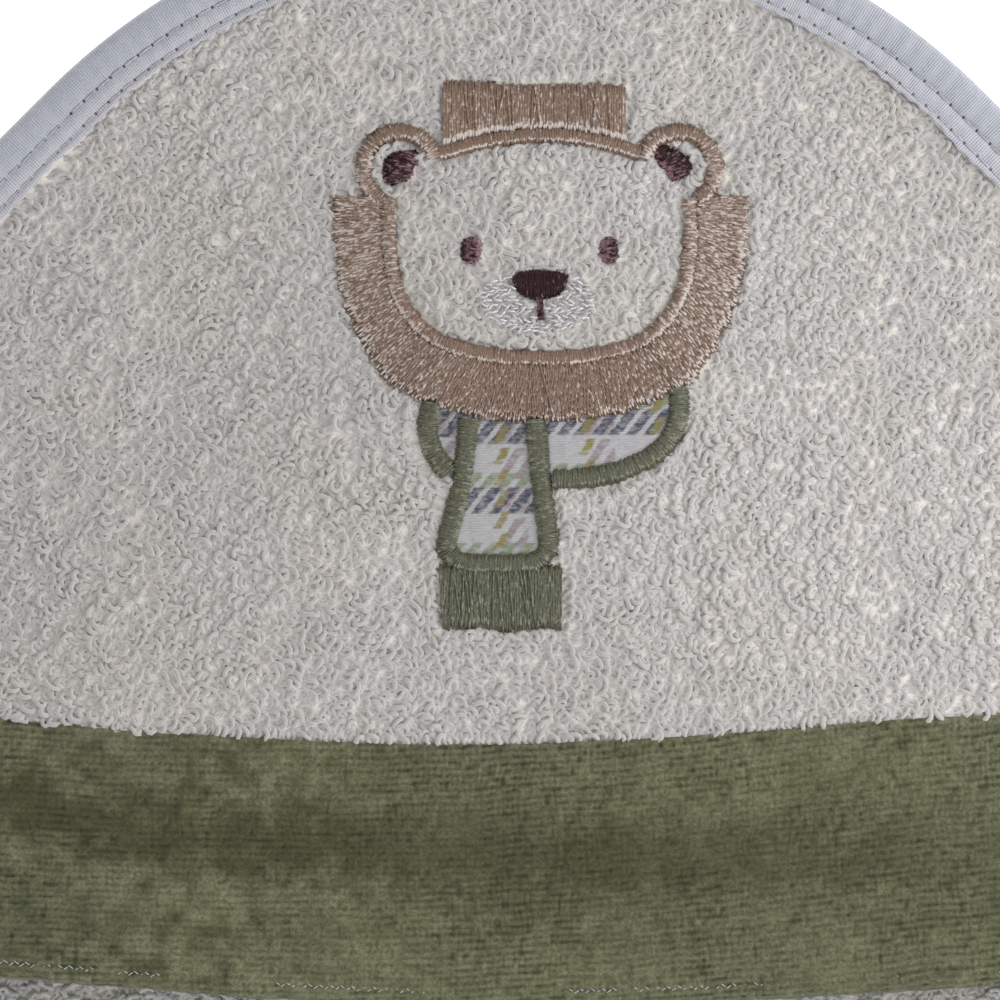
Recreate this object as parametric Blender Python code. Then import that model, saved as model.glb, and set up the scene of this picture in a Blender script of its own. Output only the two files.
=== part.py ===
"""A hooded baby towel, laid flat with its hooded corner towards +Y.

The towel is a square of terry cloth turned 45 degrees, with every corner rounded and its whole edge
wrapped in a folded jersey binding. A domed terry panel with a doubled velour band along its mouth is
caught in the binding along two edges of one corner, which makes the pocket that goes over a head.
The panel carries an embroidered lion with a scarf.

The hooded corner lifts about a living fold just outside the pocket's mouth. The cloth, the binding
and the binding's two rows of stitches are each cut in two along that fold.

Lengths are in millimetres until make_solid turns them into metres. The origin is under the middle of
the towel, on the surface that it lies on.
"""

import math

import bmesh
import bpy
import numpy as np

MM = 0.001
GAP = 0.3  # clearance between pieces that touch on the real towel

# The towel's outline
SIDE = 800.0
CORNER_RADIUS = 117.0
HALF_DIAGONAL = SIDE / math.sqrt(2)
CORNER_CENTRE = HALF_DIAGONAL - CORNER_RADIUS * math.sqrt(2)
ARC_STEPS = 12

# Cloth and binding
BINDING_WIDTH = 10.0
BINDING_THICKNESS = 0.7
CLOTH_THICKNESS = 3.0
CLOTH_INSET = BINDING_THICKNESS + GAP
CLOTH_LOW = BINDING_THICKNESS + GAP
CLOTH_TOP = CLOTH_LOW + CLOTH_THICKNESS
BINDING_TOP = CLOTH_TOP + GAP + BINDING_THICKNESS
HOOD_LOW = CLOTH_TOP + GAP
HOOD_BINDING_TOP = HOOD_LOW + CLOTH_THICKNESS + GAP + BINDING_THICKNESS

# The binding's two rows of stitches
STITCH_INSETS = {"outer": 5.9, "inner": 9.0}
STITCH_WIDTH = 0.5
STITCH_HEIGHT = 0.3

# The living fold that the hooded corner turns about
FOLD_Y = 310.0
FOLD_Z = 6.0
FOLD_GAP = 0.15
BINDING_RISE = (312.0, 327.0)  # where the binding grows from one cloth to two, along Y

# The hood
DOME_HEIGHT = 18.0
DOME_START = 12.0  # distances from the towel's edge between which the dome rises
DOME_FULL = 115.0
MOUTH_Y = 329.5
BAND_WIDTH = 46.2
SEAM_Y = MOUTH_Y + BAND_WIDTH
SAG = 8.0
SAG_CENTRE_X = -12.0
SAG_HALF_WIDTH = 160.0
SAG_FADE = 80.0  # the sag dies out this far above the seam
BAND_SWELL = 1.4  # the doubled band is this much thicker away from its sewn ends
HOOD_COLUMNS = 32
HEM_INSET = 3.0
HEM_HALF_LENGTH = 210.0
SEAM_STITCH_HALF_LENGTH = 130.0

# The embroidered lion, about a point between its eyes
MOTIF_X = 4.3
MOTIF_Y = 450.7
MOTIF_LIFT = 0.45  # gap over the domed panel
THREAD_THICKNESS = 0.8
COLUMN_WIDTH = 2.2  # a satin column round the face
SCARF_COLUMN_WIDTH = 3.4
MANE_OUTER = [  # from its right end to its middle, as is the face's edge
    (36.6, 13.0),
    (36.4, 5.0),
    (34.6, -5.0),
    (30.5, -14.0),
    (25.0, -20.4),
    (13.0, -25.2),
    (0, -26.4),
]
FACE_INNER = [(25.3, 12.0), (25.3, 5.0), (23.6, -4.0), (18.0, -10.8), (9.0, -13.6), (0, -14.2)]
EAR_CENTRE = (24.6, 18.2)
EAR_RADIUS = 7.9
EAR_COLUMN = 2.6
EAR_ARC = (-25.0, 150.0)
EAR_PATCH_RADII = (3.1, 3.3)
HEAD_TOP = [(-16.6, 20.4), (0, 22.9), (16.4, 20.6)]
TUFT_X = (-17.0, 15.2)
TUFT_TOP = 33.4
EYE_X = 12.1
EYE_Y = 3.6
EYE_RADII = (1.8, 2.3)
MUZZLE_CENTRE = (-0.3, -6.0)
MUZZLE_RADII = (9.9, 4.9)
NOSE_CENTRE = (0.1, -2.3)
NOSE_RADII = (4.8, 2.5)
STEM_X = 0.2
STEM_Y = (-8.7, -5.1)
STEM_WIDTH = 1.0
BACKING_CENTRE = (0, -16.0)
BACKING_RADII = (39.0, 50.0)

# The scarf under the lion
TAIL_SIDES = {
    "left": [(-12.4, -27.6), (-13.9, -38.0), (-16.2, -49.6)],
    "right": [(-0.9, -27.9), (0.3, -38.0), (1.4, -49.6)],
}
TAIL_BOTTOM = -51.4
TAIL_CORNER = 3.0  # the bottom runs straight up to this far from the sides
WRAP_PATH = [(3.6, -36.6), (14.6, -35.2), (22.0, -31.2), (24.4, -25.6), (23.9, -22.6)]
WRAP_PATCH_X = (3.2, 21.4)  # from the tail's right side to the turn of the wrap's outline
KNOT_PATH = [(-19.2, -25.4), (-19.9, -28.4), (-18.4, -33.6), (-17.2, -35.4)]
KNOT_PATCH_Y = (-26.2, -31.6)
FRINGE_X = (-17.7, 3.9)
FRINGE_Y = (-62.9, -54.0)

# How finely the curved pieces are divided
OUTLINE_STEPS = 40
HEAD_STEPS = 16
EAR_STEPS = 16
TAIL_STEPS = 10
TAIL_OUTLINE_STEPS = 36
WRAP_STEPS = 24
WRAP_PATCH_STEPS = 8
KNOT_STEPS = 12
KNOT_PATCH_STEPS = 4
FRINGE_STEPS = 6
OVAL_REACH = 84.0  # an oval's rows run between this many degrees above and below its middle
PANEL_ROWS = 7
PANEL_TIP_ROWS = 9
PANEL_TIP_ANGLES = (45.0, 87.0)  # bearings round the corner's centre between which the tip's rows lie
BAND_NOSE = (0, 0.3, 0.9, 2.2)  # distances of the first rows from the band's fold
BAND_FIRST_FLAT = 10.0  # distance of the first flat row from the fold
BAND_FLAT_ROWS = 4
NOSE_START = 0.03  # the fold's first row is this share of its radius inside it, so that it has a height

CREAM = (0.74, 0.71, 0.64)
OLIVE = (0.17, 0.18, 0.09)
JERSEY = (0.66, 0.70, 0.76)
BEIGE = (0.40, 0.29, 0.22)
DARK_BROWN = (0.045, 0.022, 0.018)
WHITE = (0.80, 0.80, 0.82)
PRINT = (0.55, 0.55, 0.52)
SCARF_GREEN = (0.14, 0.15, 0.08)


def smoothstep(t):
    t = np.clip(t, 0, 1)
    return t * t * (3 - 2 * t)


def clear_scene():
    for obj in list(bpy.data.objects):
        bpy.data.objects.remove(obj, do_unlink=True)


def material(name, colour, roughness, metallic=0.0):
    made = bpy.data.materials.new(name)
    made.use_nodes = True
    shader = made.node_tree.nodes["Principled BSDF"]
    shader.inputs["Base Color"].default_value = (*colour, 1)
    shader.inputs["Roughness"].default_value = roughness
    shader.inputs["Metallic"].default_value = metallic
    return made


def make_solid(name, points, faces, finish, axis=None):
    """A closed mesh object from points in mm. axis is the empty that a moving piece hangs from."""
    points = np.asarray(points, float) * MM
    if axis is not None:
        points = points - np.array(axis.location)
    mesh = bpy.data.meshes.new(name)
    mesh.from_pydata(points.tolist(), [], faces)
    shape = bmesh.new()
    shape.from_mesh(mesh)
    bmesh.ops.recalc_face_normals(shape, faces=shape.faces)
    shape.to_mesh(mesh)
    shape.free()
    mesh.materials.append(finish)
    obj = bpy.data.objects.new(name, mesh)
    bpy.context.scene.collection.objects.link(obj)
    obj.parent = axis
    return obj


def slab(name, grid, low, top, finish, axis=None):
    """A sheet over grid, rows of (x, y), from height low(x, y) to height top(x, y)."""
    rows, columns = grid.shape[:2]
    x, y = grid[..., 0].ravel(), grid[..., 1].ravel()
    lower = np.column_stack([x, y, low(x, y)])
    upper = np.column_stack([x, y, top(x, y)])
    over = rows * columns

    def index(row, column):
        return row * columns + column

    faces = []
    for row in range(rows - 1):
        for column in range(columns - 1):
            cell = [
                index(row, column),
                index(row, column + 1),
                index(row + 1, column + 1),
                index(row + 1, column),
            ]
            faces.append(cell)
            faces.append([over + corner for corner in cell])
        for column in (0, columns - 1):
            a, b = index(row, column), index(row + 1, column)
            faces.append([a, b, over + b, over + a])
    for row in (0, rows - 1):
        for column in range(columns - 1):
            a, b = index(row, column), index(row, column + 1)
            faces.append([a, b, over + b, over + a])
    return make_solid(name, np.vstack([lower, upper]), faces, finish, axis)


# ---------------------------------------------------------------- the towel's edge


def corner_stations(turns):
    """(edge point, inward direction) round the corners in turns, each a corner's bearing in degrees."""
    found = []
    for bearing in turns:
        turn = math.radians(bearing)
        middle = np.array([math.cos(turn), math.sin(turn)]) * CORNER_CENTRE
        for step in range(ARC_STEPS + 1):
            angle = math.radians(bearing + 45 - 90 * step / ARC_STEPS)
            outward = np.array([math.cos(angle), math.sin(angle)])
            found.append((middle + outward * CORNER_RADIUS, -outward))
    return found


def leg_station(side, y):
    """A station on a straight edge of the hooded corner. It steps inward along X, parallel to the fold."""
    return np.array([side * (HALF_DIAGONAL - y), y]), np.array([-side * math.sqrt(2), 0.0])


def body_stations():
    """Clockwise from above, from the fold on the right, round the far corners, to the fold on the left."""
    y = FOLD_Y - FOLD_GAP
    return [leg_station(1, y), *corner_stations([0, -90, -180]), leg_station(-1, y)]


def hood_stations():
    """From the fold on the left, round the hood's point, to the fold on the right."""
    y = [FOLD_Y + FOLD_GAP, BINDING_RISE[0], sum(BINDING_RISE) / 2, BINDING_RISE[1]]
    left = [leg_station(-1, each) for each in y]
    right = [leg_station(1, each) for each in reversed(y)]
    return [*left, *corner_stations([90]), *right]


def inset(stations, distance):
    return np.array([point + inward * distance for point, inward in stations])


def binding_tops(stations):
    """The binding's upper face at each station: it steps up from one cloth to cloth and hood."""
    y = np.array([point[1] for point, _ in stations])
    rise = smoothstep((y - BINDING_RISE[0]) / (BINDING_RISE[1] - BINDING_RISE[0]))
    return BINDING_TOP + (HOOD_BINDING_TOP - BINDING_TOP) * rise


def sweep(name, stations, section, tops, finish, axis=None):
    """Sweeps a section along stations. section(top) gives its corners as (inset, height)."""
    rings = []
    for station, top in zip(stations, tops):
        for distance, height in section(top):
            point = station[0] + station[1] * distance
            rings.append((point[0], point[1], height))
    size = len(rings) // len(stations)
    faces = [list(range(size)), list(range(len(rings) - size, len(rings)))]
    for row in range(len(stations) - 1):
        for corner in range(size):
            a, b = row * size + corner, row * size + (corner + 1) % size
            faces.append([a, b, b + size, a + size])
    return make_solid(name, rings, faces, finish, axis)


def binding_section(top):
    inner = BINDING_THICKNESS
    return [
        (0, 0), (BINDING_WIDTH, 0), (BINDING_WIDTH, inner), (inner, inner),
        (inner, top - inner), (BINDING_WIDTH, top - inner), (BINDING_WIDTH, top), (0, top),
    ]


def stitch_section(distance):
    def section(top):
        near, far = distance - STITCH_WIDTH / 2, distance + STITCH_WIDTH / 2
        low, high = top + GAP, top + GAP + STITCH_HEIGHT
        return [(near, low), (far, low), (far, high), (near, high)]

    return section


def cloth(name, stations, finish, axis=None):
    """The terry cloth inside these stations: flat on the floor, and stepped up over the binding."""
    step = BINDING_WIDTH + GAP
    rings = [(step, 0), (step, CLOTH_LOW), (CLOTH_INSET, CLOTH_LOW), (CLOTH_INSET, CLOTH_TOP)]
    points = []
    for distance, height in rings:
        outline = inset(stations, distance)
        points.extend((x, y, height) for x, y in outline)
    size = len(stations)
    faces = [list(range(size)), list(range(3 * size, 4 * size))]
    for ring in range(3):
        for corner in range(size):
            a, b = ring * size + corner, ring * size + (corner + 1) % size
            faces.append([a, b, b + size, a + size])
    return make_solid(name, points, faces, finish, axis)


# ---------------------------------------------------------------- the hood


def edge_distance(x, y):
    """Distance inward from the hooded corner's edge."""
    straight = (HALF_DIAGONAL - y - np.abs(x)) / math.sqrt(2)
    rounded = CORNER_RADIUS - np.hypot(x, y - CORNER_CENTRE)
    return np.where(y - CORNER_CENTRE > np.abs(x), rounded, straight)


def dome(x, y):
    return DOME_HEIGHT * smoothstep((edge_distance(x, y) - DOME_START) / (DOME_FULL - DOME_START))


def hood_low(x, y):
    return HOOD_LOW + dome(x, y)


def hood_top(x, y):
    return hood_low(x, y) + CLOTH_THICKNESS


def sag(x):
    return SAG * (1 - smoothstep(np.abs(x - SAG_CENTRE_X) / SAG_HALF_WIDTH))


def half_width(y):
    """Half the hood's width at y, up to its cloth's edge."""
    straight = HALF_DIAGONAL - y - CLOTH_INSET * math.sqrt(2)
    above = y - CORNER_CENTRE
    radius = CORNER_RADIUS - CLOTH_INSET
    if above <= radius / math.sqrt(2):
        return straight
    return math.sqrt(radius**2 - above**2)


def hood_rows(heights, fade):
    """Rows of (x, y) across the hood at these heights, sagging by fade(y) times the sag."""
    grid = np.empty((len(heights), HOOD_COLUMNS + 1, 2))
    for row, y in enumerate(heights):
        x = np.linspace(-1, 1, HOOD_COLUMNS + 1) * half_width(y)
        grid[row, :, 0] = x
        grid[row, :, 1] = y - sag(x) * fade(y)
    return grid


def make_hood_panel(finish, axis):
    angles = np.radians(np.linspace(*PANEL_TIP_ANGLES, PANEL_TIP_ROWS))
    tip = CORNER_CENTRE + (CORNER_RADIUS - CLOTH_INSET) * np.sin(angles)
    straight = np.linspace(SEAM_Y + GAP / 2, tip[0], PANEL_ROWS + 1)
    heights = np.concatenate([straight[:-1], tip])
    grid = hood_rows(heights, lambda y: 1 - smoothstep((y - SEAM_Y) / SAG_FADE))
    return slab("hood_panel", grid, hood_low, hood_top, finish, axis)


def band_thickness(x, y):
    return CLOTH_THICKNESS + BAND_SWELL * smoothstep((edge_distance(x, y) - DOME_START) / BINDING_WIDTH)


def nose_share(x, y):
    """Share of the band's thickness at this distance from its rounded fold."""
    radius = band_thickness(x, y) / 2
    near = np.clip((y + sag(x) - MOUTH_Y) / radius, NOSE_START, 1)
    return np.sqrt(1 - (1 - near) ** 2)


def band_low(x, y):
    thickness = band_thickness(x, y)
    return hood_low(x, y) + thickness * (1 - nose_share(x, y)) / 2


def band_top(x, y):
    thickness = band_thickness(x, y)
    return hood_low(x, y) + thickness * (1 + nose_share(x, y)) / 2


def make_hood_band(finish, axis):
    heights = [MOUTH_Y + each for each in BAND_NOSE]
    heights += list(np.linspace(MOUTH_Y + BAND_FIRST_FLAT, SEAM_Y - GAP / 2, BAND_FLAT_ROWS))
    return slab("hood_band", hood_rows(heights, lambda y: 1), band_low, band_top, finish, axis)


def make_band_stitch(name, y, half_length, low, finish, axis):
    """A straight row of stitches along the band."""
    x = np.linspace(-half_length, half_length, 2 * HOOD_COLUMNS + 1)
    edges = [np.column_stack([x, y + side * STITCH_WIDTH / 2 - sag(x)]) for side in (-1, 1)]
    grid = np.stack(edges, axis=1)
    return slab(name, grid, low, lambda u, v: low(u, v) + STITCH_HEIGHT, finish, axis)


def make_band_stitches(finish, axis):
    """The hem row on top of the band, and the row that joins band and panel, which is under them."""

    def over_band(x, y):
        return band_top(x, y) + GAP

    def under_seam(x, y):
        return hood_low(x, y) - MOTIF_LIFT - STITCH_HEIGHT

    hem_y = MOUTH_Y + HEM_INSET
    make_band_stitch("band_hem_stitch", hem_y, HEM_HALF_LENGTH, over_band, finish, axis)
    make_band_stitch("band_seam_stitch", SEAM_Y, SEAM_STITCH_HALF_LENGTH, under_seam, finish, axis)


# ---------------------------------------------------------------- the embroidery


def curve(points, steps):
    """A smooth curve through points, as steps + 1 points (Catmull-Rom)."""
    points = np.asarray(points, float)
    padded = np.vstack([2 * points[0] - points[1], points, 2 * points[-1] - points[-2]])
    found = []
    for t in np.linspace(0, len(points) - 1, steps + 1):
        k = min(int(t), len(points) - 2)
        s = t - k
        a, b, c, d = padded[k : k + 4]
        square = 2 * a - 5 * b + 4 * c - d
        cube = 3 * b - a - 3 * c + d
        found.append((2 * b + (c - a) * s + square * s**2 + cube * s**3) / 2)
    return np.array(found)


def mirrored(half):
    """The whole outline of a shape that is given from its right end to its middle."""
    left = [(-x, y) for x, y in half]
    return left + list(reversed(half[:-1]))


def between(one, other, columns):
    """Rows of points from curve one to curve other, in the motif's own coordinates."""
    share = np.linspace(0, 1, columns + 1)[None, :, None]
    return one[:, None, :] * (1 - share) + other[:, None, :] * share


def offset(path, distance):
    """path moved to its left by distance."""
    along = np.gradient(path, axis=0)
    along /= np.linalg.norm(along, axis=1)[:, None]
    return path + np.column_stack([-along[:, 1], along[:, 0]]) * distance


def stitched(name, grid, finish, axis, lift=MOTIF_LIFT, thickness=THREAD_THICKNESS):
    """A piece of embroidery laid on the domed panel."""
    placed = grid + np.array([MOTIF_X, MOTIF_Y])

    def low(x, y):
        return hood_top(x, y) + lift

    def top(x, y):
        return low(x, y) + thickness

    return slab(name, placed, low, top, finish, axis)


def oval(centre, radii, steps=12, columns=3):
    """Rows across an ellipse, top to bottom."""
    angles = np.radians(np.linspace(OVAL_REACH, -OVAL_REACH, steps))
    right = np.column_stack([np.cos(angles) * radii[0], np.sin(angles) * radii[1]]) + centre
    left = np.column_stack([-np.cos(angles) * radii[0], np.sin(angles) * radii[1]]) + centre
    return between(left, right, columns)


def ribbon(path, width, steps):
    line = curve(path, steps)
    return between(offset(line, width / 2), offset(line, -width / 2), 2)


def make_face(finishes, axis):
    beige, dark, white = finishes["beige_thread"], finishes["brown_thread"], finishes["white_thread"]
    inner = curve(mirrored(FACE_INNER), OUTLINE_STEPS)
    column_edge = offset(inner, -COLUMN_WIDTH)
    stitched("face_outline", between(inner, column_edge, 1), beige, axis)
    outer = curve(mirrored(MANE_OUTER), OUTLINE_STEPS)
    stitched("mane", between(offset(inner, -COLUMN_WIDTH - GAP), outer, 3), beige, axis)

    top_inner = curve(HEAD_TOP, HEAD_STEPS)
    top_outer = offset(top_inner, COLUMN_WIDTH)
    stitched("head_top_outline", between(top_inner, top_outer, 1), beige, axis)
    tuft_x = np.linspace(*TUFT_X, HEAD_STEPS + 1)
    tuft_low = np.interp(tuft_x, *offset(top_inner, COLUMN_WIDTH + GAP).T)
    tuft = [np.column_stack([tuft_x, tuft_low]), np.column_stack([tuft_x, np.full_like(tuft_x, TUFT_TOP)])]
    stitched("forehead_tuft", between(*tuft, 3), beige, axis)

    for side, label in ((-1, "left"), (1, "right")):
        angles = np.radians(np.linspace(*EAR_ARC, EAR_STEPS + 1))
        spoke = np.column_stack([side * np.cos(angles), np.sin(angles)])
        centre = np.array([side * EAR_CENTRE[0], EAR_CENTRE[1]])
        rim = between(centre + spoke * EAR_RADIUS, centre + spoke * (EAR_RADIUS - EAR_COLUMN), 1)
        stitched(f"ear_outline_{label}", rim, beige, axis)
        stitched(f"ear_patch_{label}", oval(centre, EAR_PATCH_RADII), dark, axis)
        stitched(f"eye_{label}", oval(np.array([side * EYE_X, EYE_Y]), EYE_RADII), dark, axis)

    muzzle = oval(np.array(MUZZLE_CENTRE), MUZZLE_RADII)
    stitched("muzzle", muzzle, white, axis, thickness=THREAD_THICKNESS / 2)
    above = MOTIF_LIFT + THREAD_THICKNESS / 2 + GAP
    stitched("nose", oval(np.array(NOSE_CENTRE), NOSE_RADII), dark, axis, lift=above)
    stem = np.array([[(STEM_X - STEM_WIDTH / 2, y), (STEM_X + STEM_WIDTH / 2, y)] for y in STEM_Y])
    stitched("mouth_stem", stem, dark, axis, lift=above)


def make_scarf(finishes, axis):
    green, printed = finishes["green_thread"], finishes["printed_cotton"]
    half_thick = THREAD_THICKNESS / 2
    left, right = (curve(TAIL_SIDES[side], TAIL_STEPS) for side in ("left", "right"))
    bottom = [(left[-1][0] + TAIL_CORNER, TAIL_BOTTOM), (right[-1][0] - TAIL_CORNER, TAIL_BOTTOM)]
    path = [*TAIL_SIDES["left"], *bottom, *reversed(TAIL_SIDES["right"])]
    stitched("scarf_outline_tail", ribbon(path, SCARF_COLUMN_WIDTH, TAIL_OUTLINE_STEPS), green, axis)
    reach = SCARF_COLUMN_WIDTH / 2 + GAP
    tail = between(left + (reach, 0), right - (reach, 0), 3)
    stitched("scarf_patch_tail", tail, printed, axis, thickness=half_thick)

    stitched("scarf_outline_wrap", ribbon(WRAP_PATH, SCARF_COLUMN_WIDTH, WRAP_STEPS), green, axis)
    stitched("scarf_outline_knot", ribbon(KNOT_PATH, SCARF_COLUMN_WIDTH, KNOT_STEPS), green, axis)
    mane_edge = curve(mirrored(MANE_OUTER), 2 * OUTLINE_STEPS)[OUTLINE_STEPS:]
    wrap_x = np.linspace(WRAP_PATCH_X[0] + reach, WRAP_PATCH_X[1], WRAP_PATCH_STEPS + 1)
    top = np.interp(wrap_x, mane_edge[:, 0], mane_edge[:, 1]) - GAP
    lower = offset(curve(WRAP_PATH, WRAP_STEPS), reach)
    below = np.interp(wrap_x, lower[:, 0], lower[:, 1])
    wrap = between(np.column_stack([wrap_x, top]), np.column_stack([wrap_x, below]), 2)
    stitched("scarf_patch_wrap", wrap, printed, axis, thickness=half_thick)
    knot_y = np.linspace(*KNOT_PATCH_Y, KNOT_PATCH_STEPS + 1)
    knot_right = np.interp(-knot_y, -left[:, 1], left[:, 0]) - reach
    knot_rim = offset(curve(KNOT_PATH, KNOT_STEPS), reach)
    knot_left = np.interp(-knot_y, -knot_rim[:, 1], knot_rim[:, 0])
    knot = between(np.column_stack([knot_left, knot_y]), np.column_stack([knot_right, knot_y]), 1)
    stitched("scarf_patch_knot", knot, printed, axis, thickness=half_thick)

    x = np.linspace(*FRINGE_X, FRINGE_STEPS + 1)
    ends = [np.column_stack([x, np.full_like(x, y)]) for y in FRINGE_Y]
    stitched("scarf_fringe", between(*ends, 3), green, axis)


def make_backing(finish, axis):
    """The stabiliser sheet behind the embroidery, under the panel."""
    centre = np.array(BACKING_CENTRE) + (MOTIF_X, MOTIF_Y)
    thickness = THREAD_THICKNESS / 2

    def top(x, y):
        return hood_low(x, y) - MOTIF_LIFT

    def low(x, y):
        return top(x, y) - thickness

    grid = oval(centre, BACKING_RADII, steps=16, columns=8)
    return slab("embroidery_backing", grid, low, top, finish, axis)


def main():
    clear_scene()
    finishes = {
        "terry": material("cream_terry", CREAM, 0.95),
        "velour": material("olive_velour", OLIVE, 0.9),
        "jersey": material("jersey_binding", JERSEY, 0.85),
        "thread": material("white_sewing_thread", WHITE, 0.6),
        "beige_thread": material("beige_embroidery_thread", BEIGE, 0.4),
        "brown_thread": material("brown_embroidery_thread", DARK_BROWN, 0.5),
        "white_thread": material("white_embroidery_thread", WHITE, 0.35),
        "green_thread": material("green_embroidery_thread", SCARF_GREEN, 0.45),
        "printed_cotton": material("printed_cotton", PRINT, 0.8),
        "backing": material("embroidery_stabiliser", WHITE, 0.9),
    }
    axis = bpy.data.objects.new("hood_fold_axis", None)
    axis.location = (0, FOLD_Y * MM, FOLD_Z * MM)
    bpy.context.scene.collection.objects.link(axis)

    body, corner = body_stations(), hood_stations()
    cloth("towel_body", body, finishes["terry"])
    cloth("towel_corner", corner, finishes["terry"], axis)
    sweep("edge_binding", body, binding_section, binding_tops(body), finishes["jersey"])
    sweep("hood_binding", corner, binding_section, binding_tops(corner), finishes["jersey"], axis)
    for row, distance in STITCH_INSETS.items():
        section = stitch_section(distance)
        sweep(f"edge_stitch_{row}", body, section, binding_tops(body), finishes["thread"])
        sweep(f"hood_stitch_{row}", corner, section, binding_tops(corner), finishes["thread"], axis)

    make_hood_panel(finishes["terry"], axis)
    make_hood_band(finishes["velour"], axis)
    make_band_stitches(finishes["thread"], axis)
    make_face(finishes, axis)
    make_scarf(finishes, axis)
    make_backing(finishes["backing"], axis)


main()
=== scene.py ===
"""A hooded baby towel, lying flat on a pale floor and seen from above its hooded corner.

Every piece is built over the CAD frame, in its coordinates. Lengths are in millimetres until make_mesh
turns them into metres.
"""

import math

import bpy
import numpy as np
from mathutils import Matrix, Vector


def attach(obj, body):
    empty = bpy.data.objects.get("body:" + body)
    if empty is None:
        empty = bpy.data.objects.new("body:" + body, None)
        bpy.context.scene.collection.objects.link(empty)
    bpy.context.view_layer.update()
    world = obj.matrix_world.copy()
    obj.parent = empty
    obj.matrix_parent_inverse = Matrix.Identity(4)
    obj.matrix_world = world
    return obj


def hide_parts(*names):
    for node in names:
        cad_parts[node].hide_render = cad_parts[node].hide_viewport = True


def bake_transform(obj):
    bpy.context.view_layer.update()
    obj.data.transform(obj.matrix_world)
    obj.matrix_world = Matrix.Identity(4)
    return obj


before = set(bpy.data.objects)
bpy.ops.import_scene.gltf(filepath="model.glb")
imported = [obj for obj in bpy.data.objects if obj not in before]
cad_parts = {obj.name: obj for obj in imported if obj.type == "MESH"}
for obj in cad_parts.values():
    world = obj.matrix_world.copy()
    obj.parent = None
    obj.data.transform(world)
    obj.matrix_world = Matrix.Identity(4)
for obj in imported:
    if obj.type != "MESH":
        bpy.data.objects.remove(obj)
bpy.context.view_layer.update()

MM = 0.001
UP = np.array([0, 0, 1.0])

# The towel's outline and its thicknesses, as in the CAD
SIDE = 800.0
CORNER_RADIUS = 117.0
HALF_DIAGONAL = SIDE / math.sqrt(2)
CORNER_CENTRE = HALF_DIAGONAL - CORNER_RADIUS * math.sqrt(2)
ARC_LENGTH = CORNER_RADIUS * math.pi / 2
LEG_LENGTH = SIDE - 2 * CORNER_RADIUS
QUARTER = ARC_LENGTH + LEG_LENGTH
CLOTH_INSET = 1.0
CLOTH_LOW = 1.0
CLOTH_TOP = 4.0
CLOTH_STEP = 4.0
BINDING_TOP = 5.0
HOOD_LOW = 4.3
HOOD_BINDING_TOP = 8.3
BINDING_RISE = (312.0, 327.0)
BINDING_WIDTH = 10.2
BINDING_STEP = 0.55
ROW_INSETS = (5.9, 9.0)
STITCH_PITCH = 3.3

# Waves of the loose body: their height, where they begin and the distance that they grow over
WAVE_HEIGHT = 5.0
WAVE_START_Y = 235.0
WAVE_GROWTH = 120.0

# The hood
DOME_HEIGHT = 18.0
DOME_START = 12.0
DOME_FULL = 115.0
DOME_EASE = 25.0
DOME_RUMPLES = ((0.7, 34, 5), (0.35, 17, 6))  # height, size and seed
MOUTH_Y = 329.5
SEAM_Y = 375.7
SAG = 8.0
SAG_CENTRE_X = -12.0
SAG_HALF_WIDTH = 160.0
SAG_FADE = 80.0
MOUTH_TILT = 0.018  # the mouth falls this much towards +X, near its middle
MOUTH_TILT_REACH = 110.0

# Terry pile
LOOP_PITCH = (1.4, 1.27)
LOOP_LENGTH = 1.78
LOOP_WIDTH = 1.65
LOOP_LEAN = 1.55
LEAN_RANGE = (0.4, 1.7)
WIDTH_RANGE = (0.9, 2.4)
YARN_RANGE = (0.7, 1.35)  # times its radius
SHAPE_CLEARANCE = 2.6  # loops nearer to a stitched shape lean away from it
LOOP_SIDES = 5
YARN_RADIUS = 0.44
PANEL_BASE = 2.0  # height of the ground weave over the panel's underside
BODY_BASE = 3.3  # height of the body's loops' feet over the floor
PILE_INSETS = {"body": 10.6, "hood": 10.7}  # loops stay this far from the edge, clear of the binding
PILE_CHUNK = 190_000  # most triangles in one piece of pile
MOUTH_STRIP = ((-178, 178), (272, 334))  # where the body has loops of its own, in front of the hood's mouth
HOOD_FIELD = ((-195, 195), (364, 512))

# Velour pile
TUFT_PITCH = (1.02, 1.22)
ROW_SLOPE = 0.05  # the rows of tufts climb this much towards +X
BAND_THICKNESS = 4.4
BAND_NOSE = BAND_THICKNESS / 2
BAND_GAP = 0.15  # between the hood's underside and the band's
VELOUR_PARTS = {"left": (-1.0, -0.45, 330), "middle": (-0.45, 0.45, 560), "right": (0.45, 1.0, 330)}

# Stitches on the band and the sheet behind the embroidery
THREAD_SIDES = 5
HEM_REACH = 205.0
HEM_PITCH = 0.95
SEAM_REACH = 130.0
SEAM_PITCH = 2.8
STITCH_RINGS = 5
BACKING_CENTRE = (4.3, 434.7)
BACKING_RADII = (38.5, 49.0)

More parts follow.
